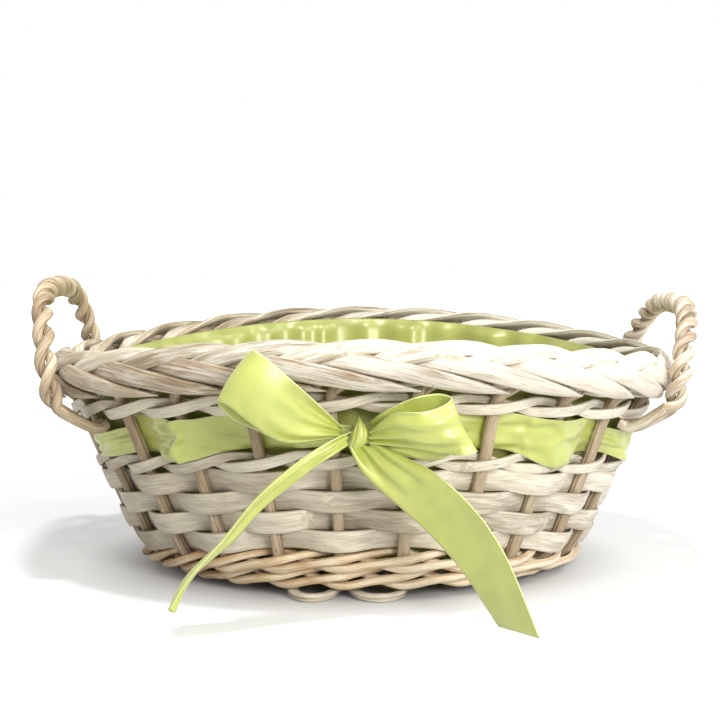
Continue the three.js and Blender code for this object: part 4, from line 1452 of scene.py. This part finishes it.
def make_knot(grid):
    """Joins the knot's grid into one closed mesh with a point at each side."""
    rows, columns = grid.shape[:2]
    points = np.vstack([grid[1:-1].reshape(-1, 3), grid[0, 0], grid[-1, 0]])
    number = np.arange((rows - 2) * columns).reshape(rows - 2, columns)
    beside = np.roll(number, -1, axis=1)
    faces = np.stack([number[:-1], number[1:], beside[1:], beside[:-1]], -1)
    faces = faces.reshape(-1, 4).tolist()
    first, last = len(points) - 2, len(points) - 1
    faces += [[first, int(a), int(b)] for a, b in zip(number[0], beside[0])]
    faces += [[last, int(b), int(a)] for a, b in zip(number[-1], beside[-1])]
    corners = [index for face in faces for index in face]
    from_edge = np.full(len(points), 10.0)  # everywhere away from the sewn edge
    return cloth_object(
        "satin_bow_knot", points, faces, points[corners][:, [2, 0]], from_edge, RIBBON_SATIN
    )


knot = make_knot(knot_grid())
settle(knot, ["bow_knot"])


# ------------------------------------------------------- floor, light and camera
def seen_directly(tree):
    """1 for the camera's rays and those that mirror something, and 0 for the others."""
    path = place_node(tree, "ShaderNodeLightPath")
    return maths("MAXIMUM", path.beside("Is Camera Ray"), path.beside("Is Glossy Ray"))


def make_floor():
    """A pale floor that grows brighter with distance, so that it ends in the background. Its glow
    stays off close round the basket, which paints shade on the floor under it.
    """
    mesh = bpy.data.meshes.new("floor")
    half = 4.0
    mesh.from_pydata(
        [(-half, -half, 0), (half, -half, 0), (half, half, 0), (-half, half, 0)],
        [], [(0, 1, 2, 3)],
    )
    material, tree, shader = new_material("pale floor")
    place = place_node(tree, "ShaderNodeTexCoord", output="Object")
    away = vector_maths("LENGTH", place, output="Value")
    # Painted shade: no glow within 85 mm of the middle and full glow only past 150 mm, so the
    # floor is darker under and round the basket
    near = spread_out(away, 0.085, 0.15, 0.0, 0.44)
    far = spread_out(away, 0.26, 1.2, 0.0, 0.9)
    fill(shader, {
        "Base Color": (0.6, 0.6, 0.6, 1), "Roughness": 0.9, "Specular IOR Level": 0.1,
        "Emission Color": (1, 1, 1, 1), "Emission Strength": seen_directly(tree) * (near + far),
    })
    mesh.materials.append(material)
    add_object("floor", mesh)


def make_world(strength):
    """A white world that is seen white and lights with the given strength."""
    world = bpy.data.worlds.new("studio")
    bpy.context.scene.world = world
    world.use_nodes = True
    tree = world.node_tree
    tree.nodes.clear()
    path = place_node(tree, "ShaderNodeLightPath")
    seen = maths("MAXIMUM", seen_directly(tree), path.beside("Is Transmission Ray"))
    level = seen * (1 - strength) + strength
    light = place_node(
        tree, "ShaderNodeBackground", {"Color": (1, 1, 1, 1), "Strength": level}
    )
    fill(tree.nodes.new("ShaderNodeOutputWorld"), {"Surface": light})


def add_lamp(name, place, size, power):
    """A square lamp in metres and watts, aimed at the middle of the basket."""
    data = bpy.data.lights.new(name, "AREA")
    data.size = size
    data.energy = power
    lamp = add_object(name, data)
    lamp.location = place
    direction = Vector(BASKET_MIDDLE) - Vector(place)
    lamp.rotation_euler = direction.to_track_quat("-Z", "Y").to_euler()


BASKET_MIDDLE = (0, 0, 0.05)
make_floor()
make_world(0.36)
add_lamp("key lamp", (-0.05, -0.34, 1.0), 0.1, 6.5)
add_lamp("side lamp", (0.75, -0.2, 0.85), 0.5, 4.4)
add_lamp("fill lamp", (0.6, -1.35, 0.55), 0.5, 15.5)

CAMERA_DIP = 4.42777  # degrees that it looks down, from in front of the bow
camera_data = bpy.data.cameras.new("camera")
camera_data.sensor_width = 36
camera_data.lens = 87.842
camera = add_object("camera", camera_data)
camera.location = (-0.000474, -0.898667, 0.171494)
camera.rotation_euler = (math.radians(90 - CAMERA_DIP), 0, 0)
bpy.context.scene.camera = camera
bpy.context.scene.view_settings.view_transform = "Standard"
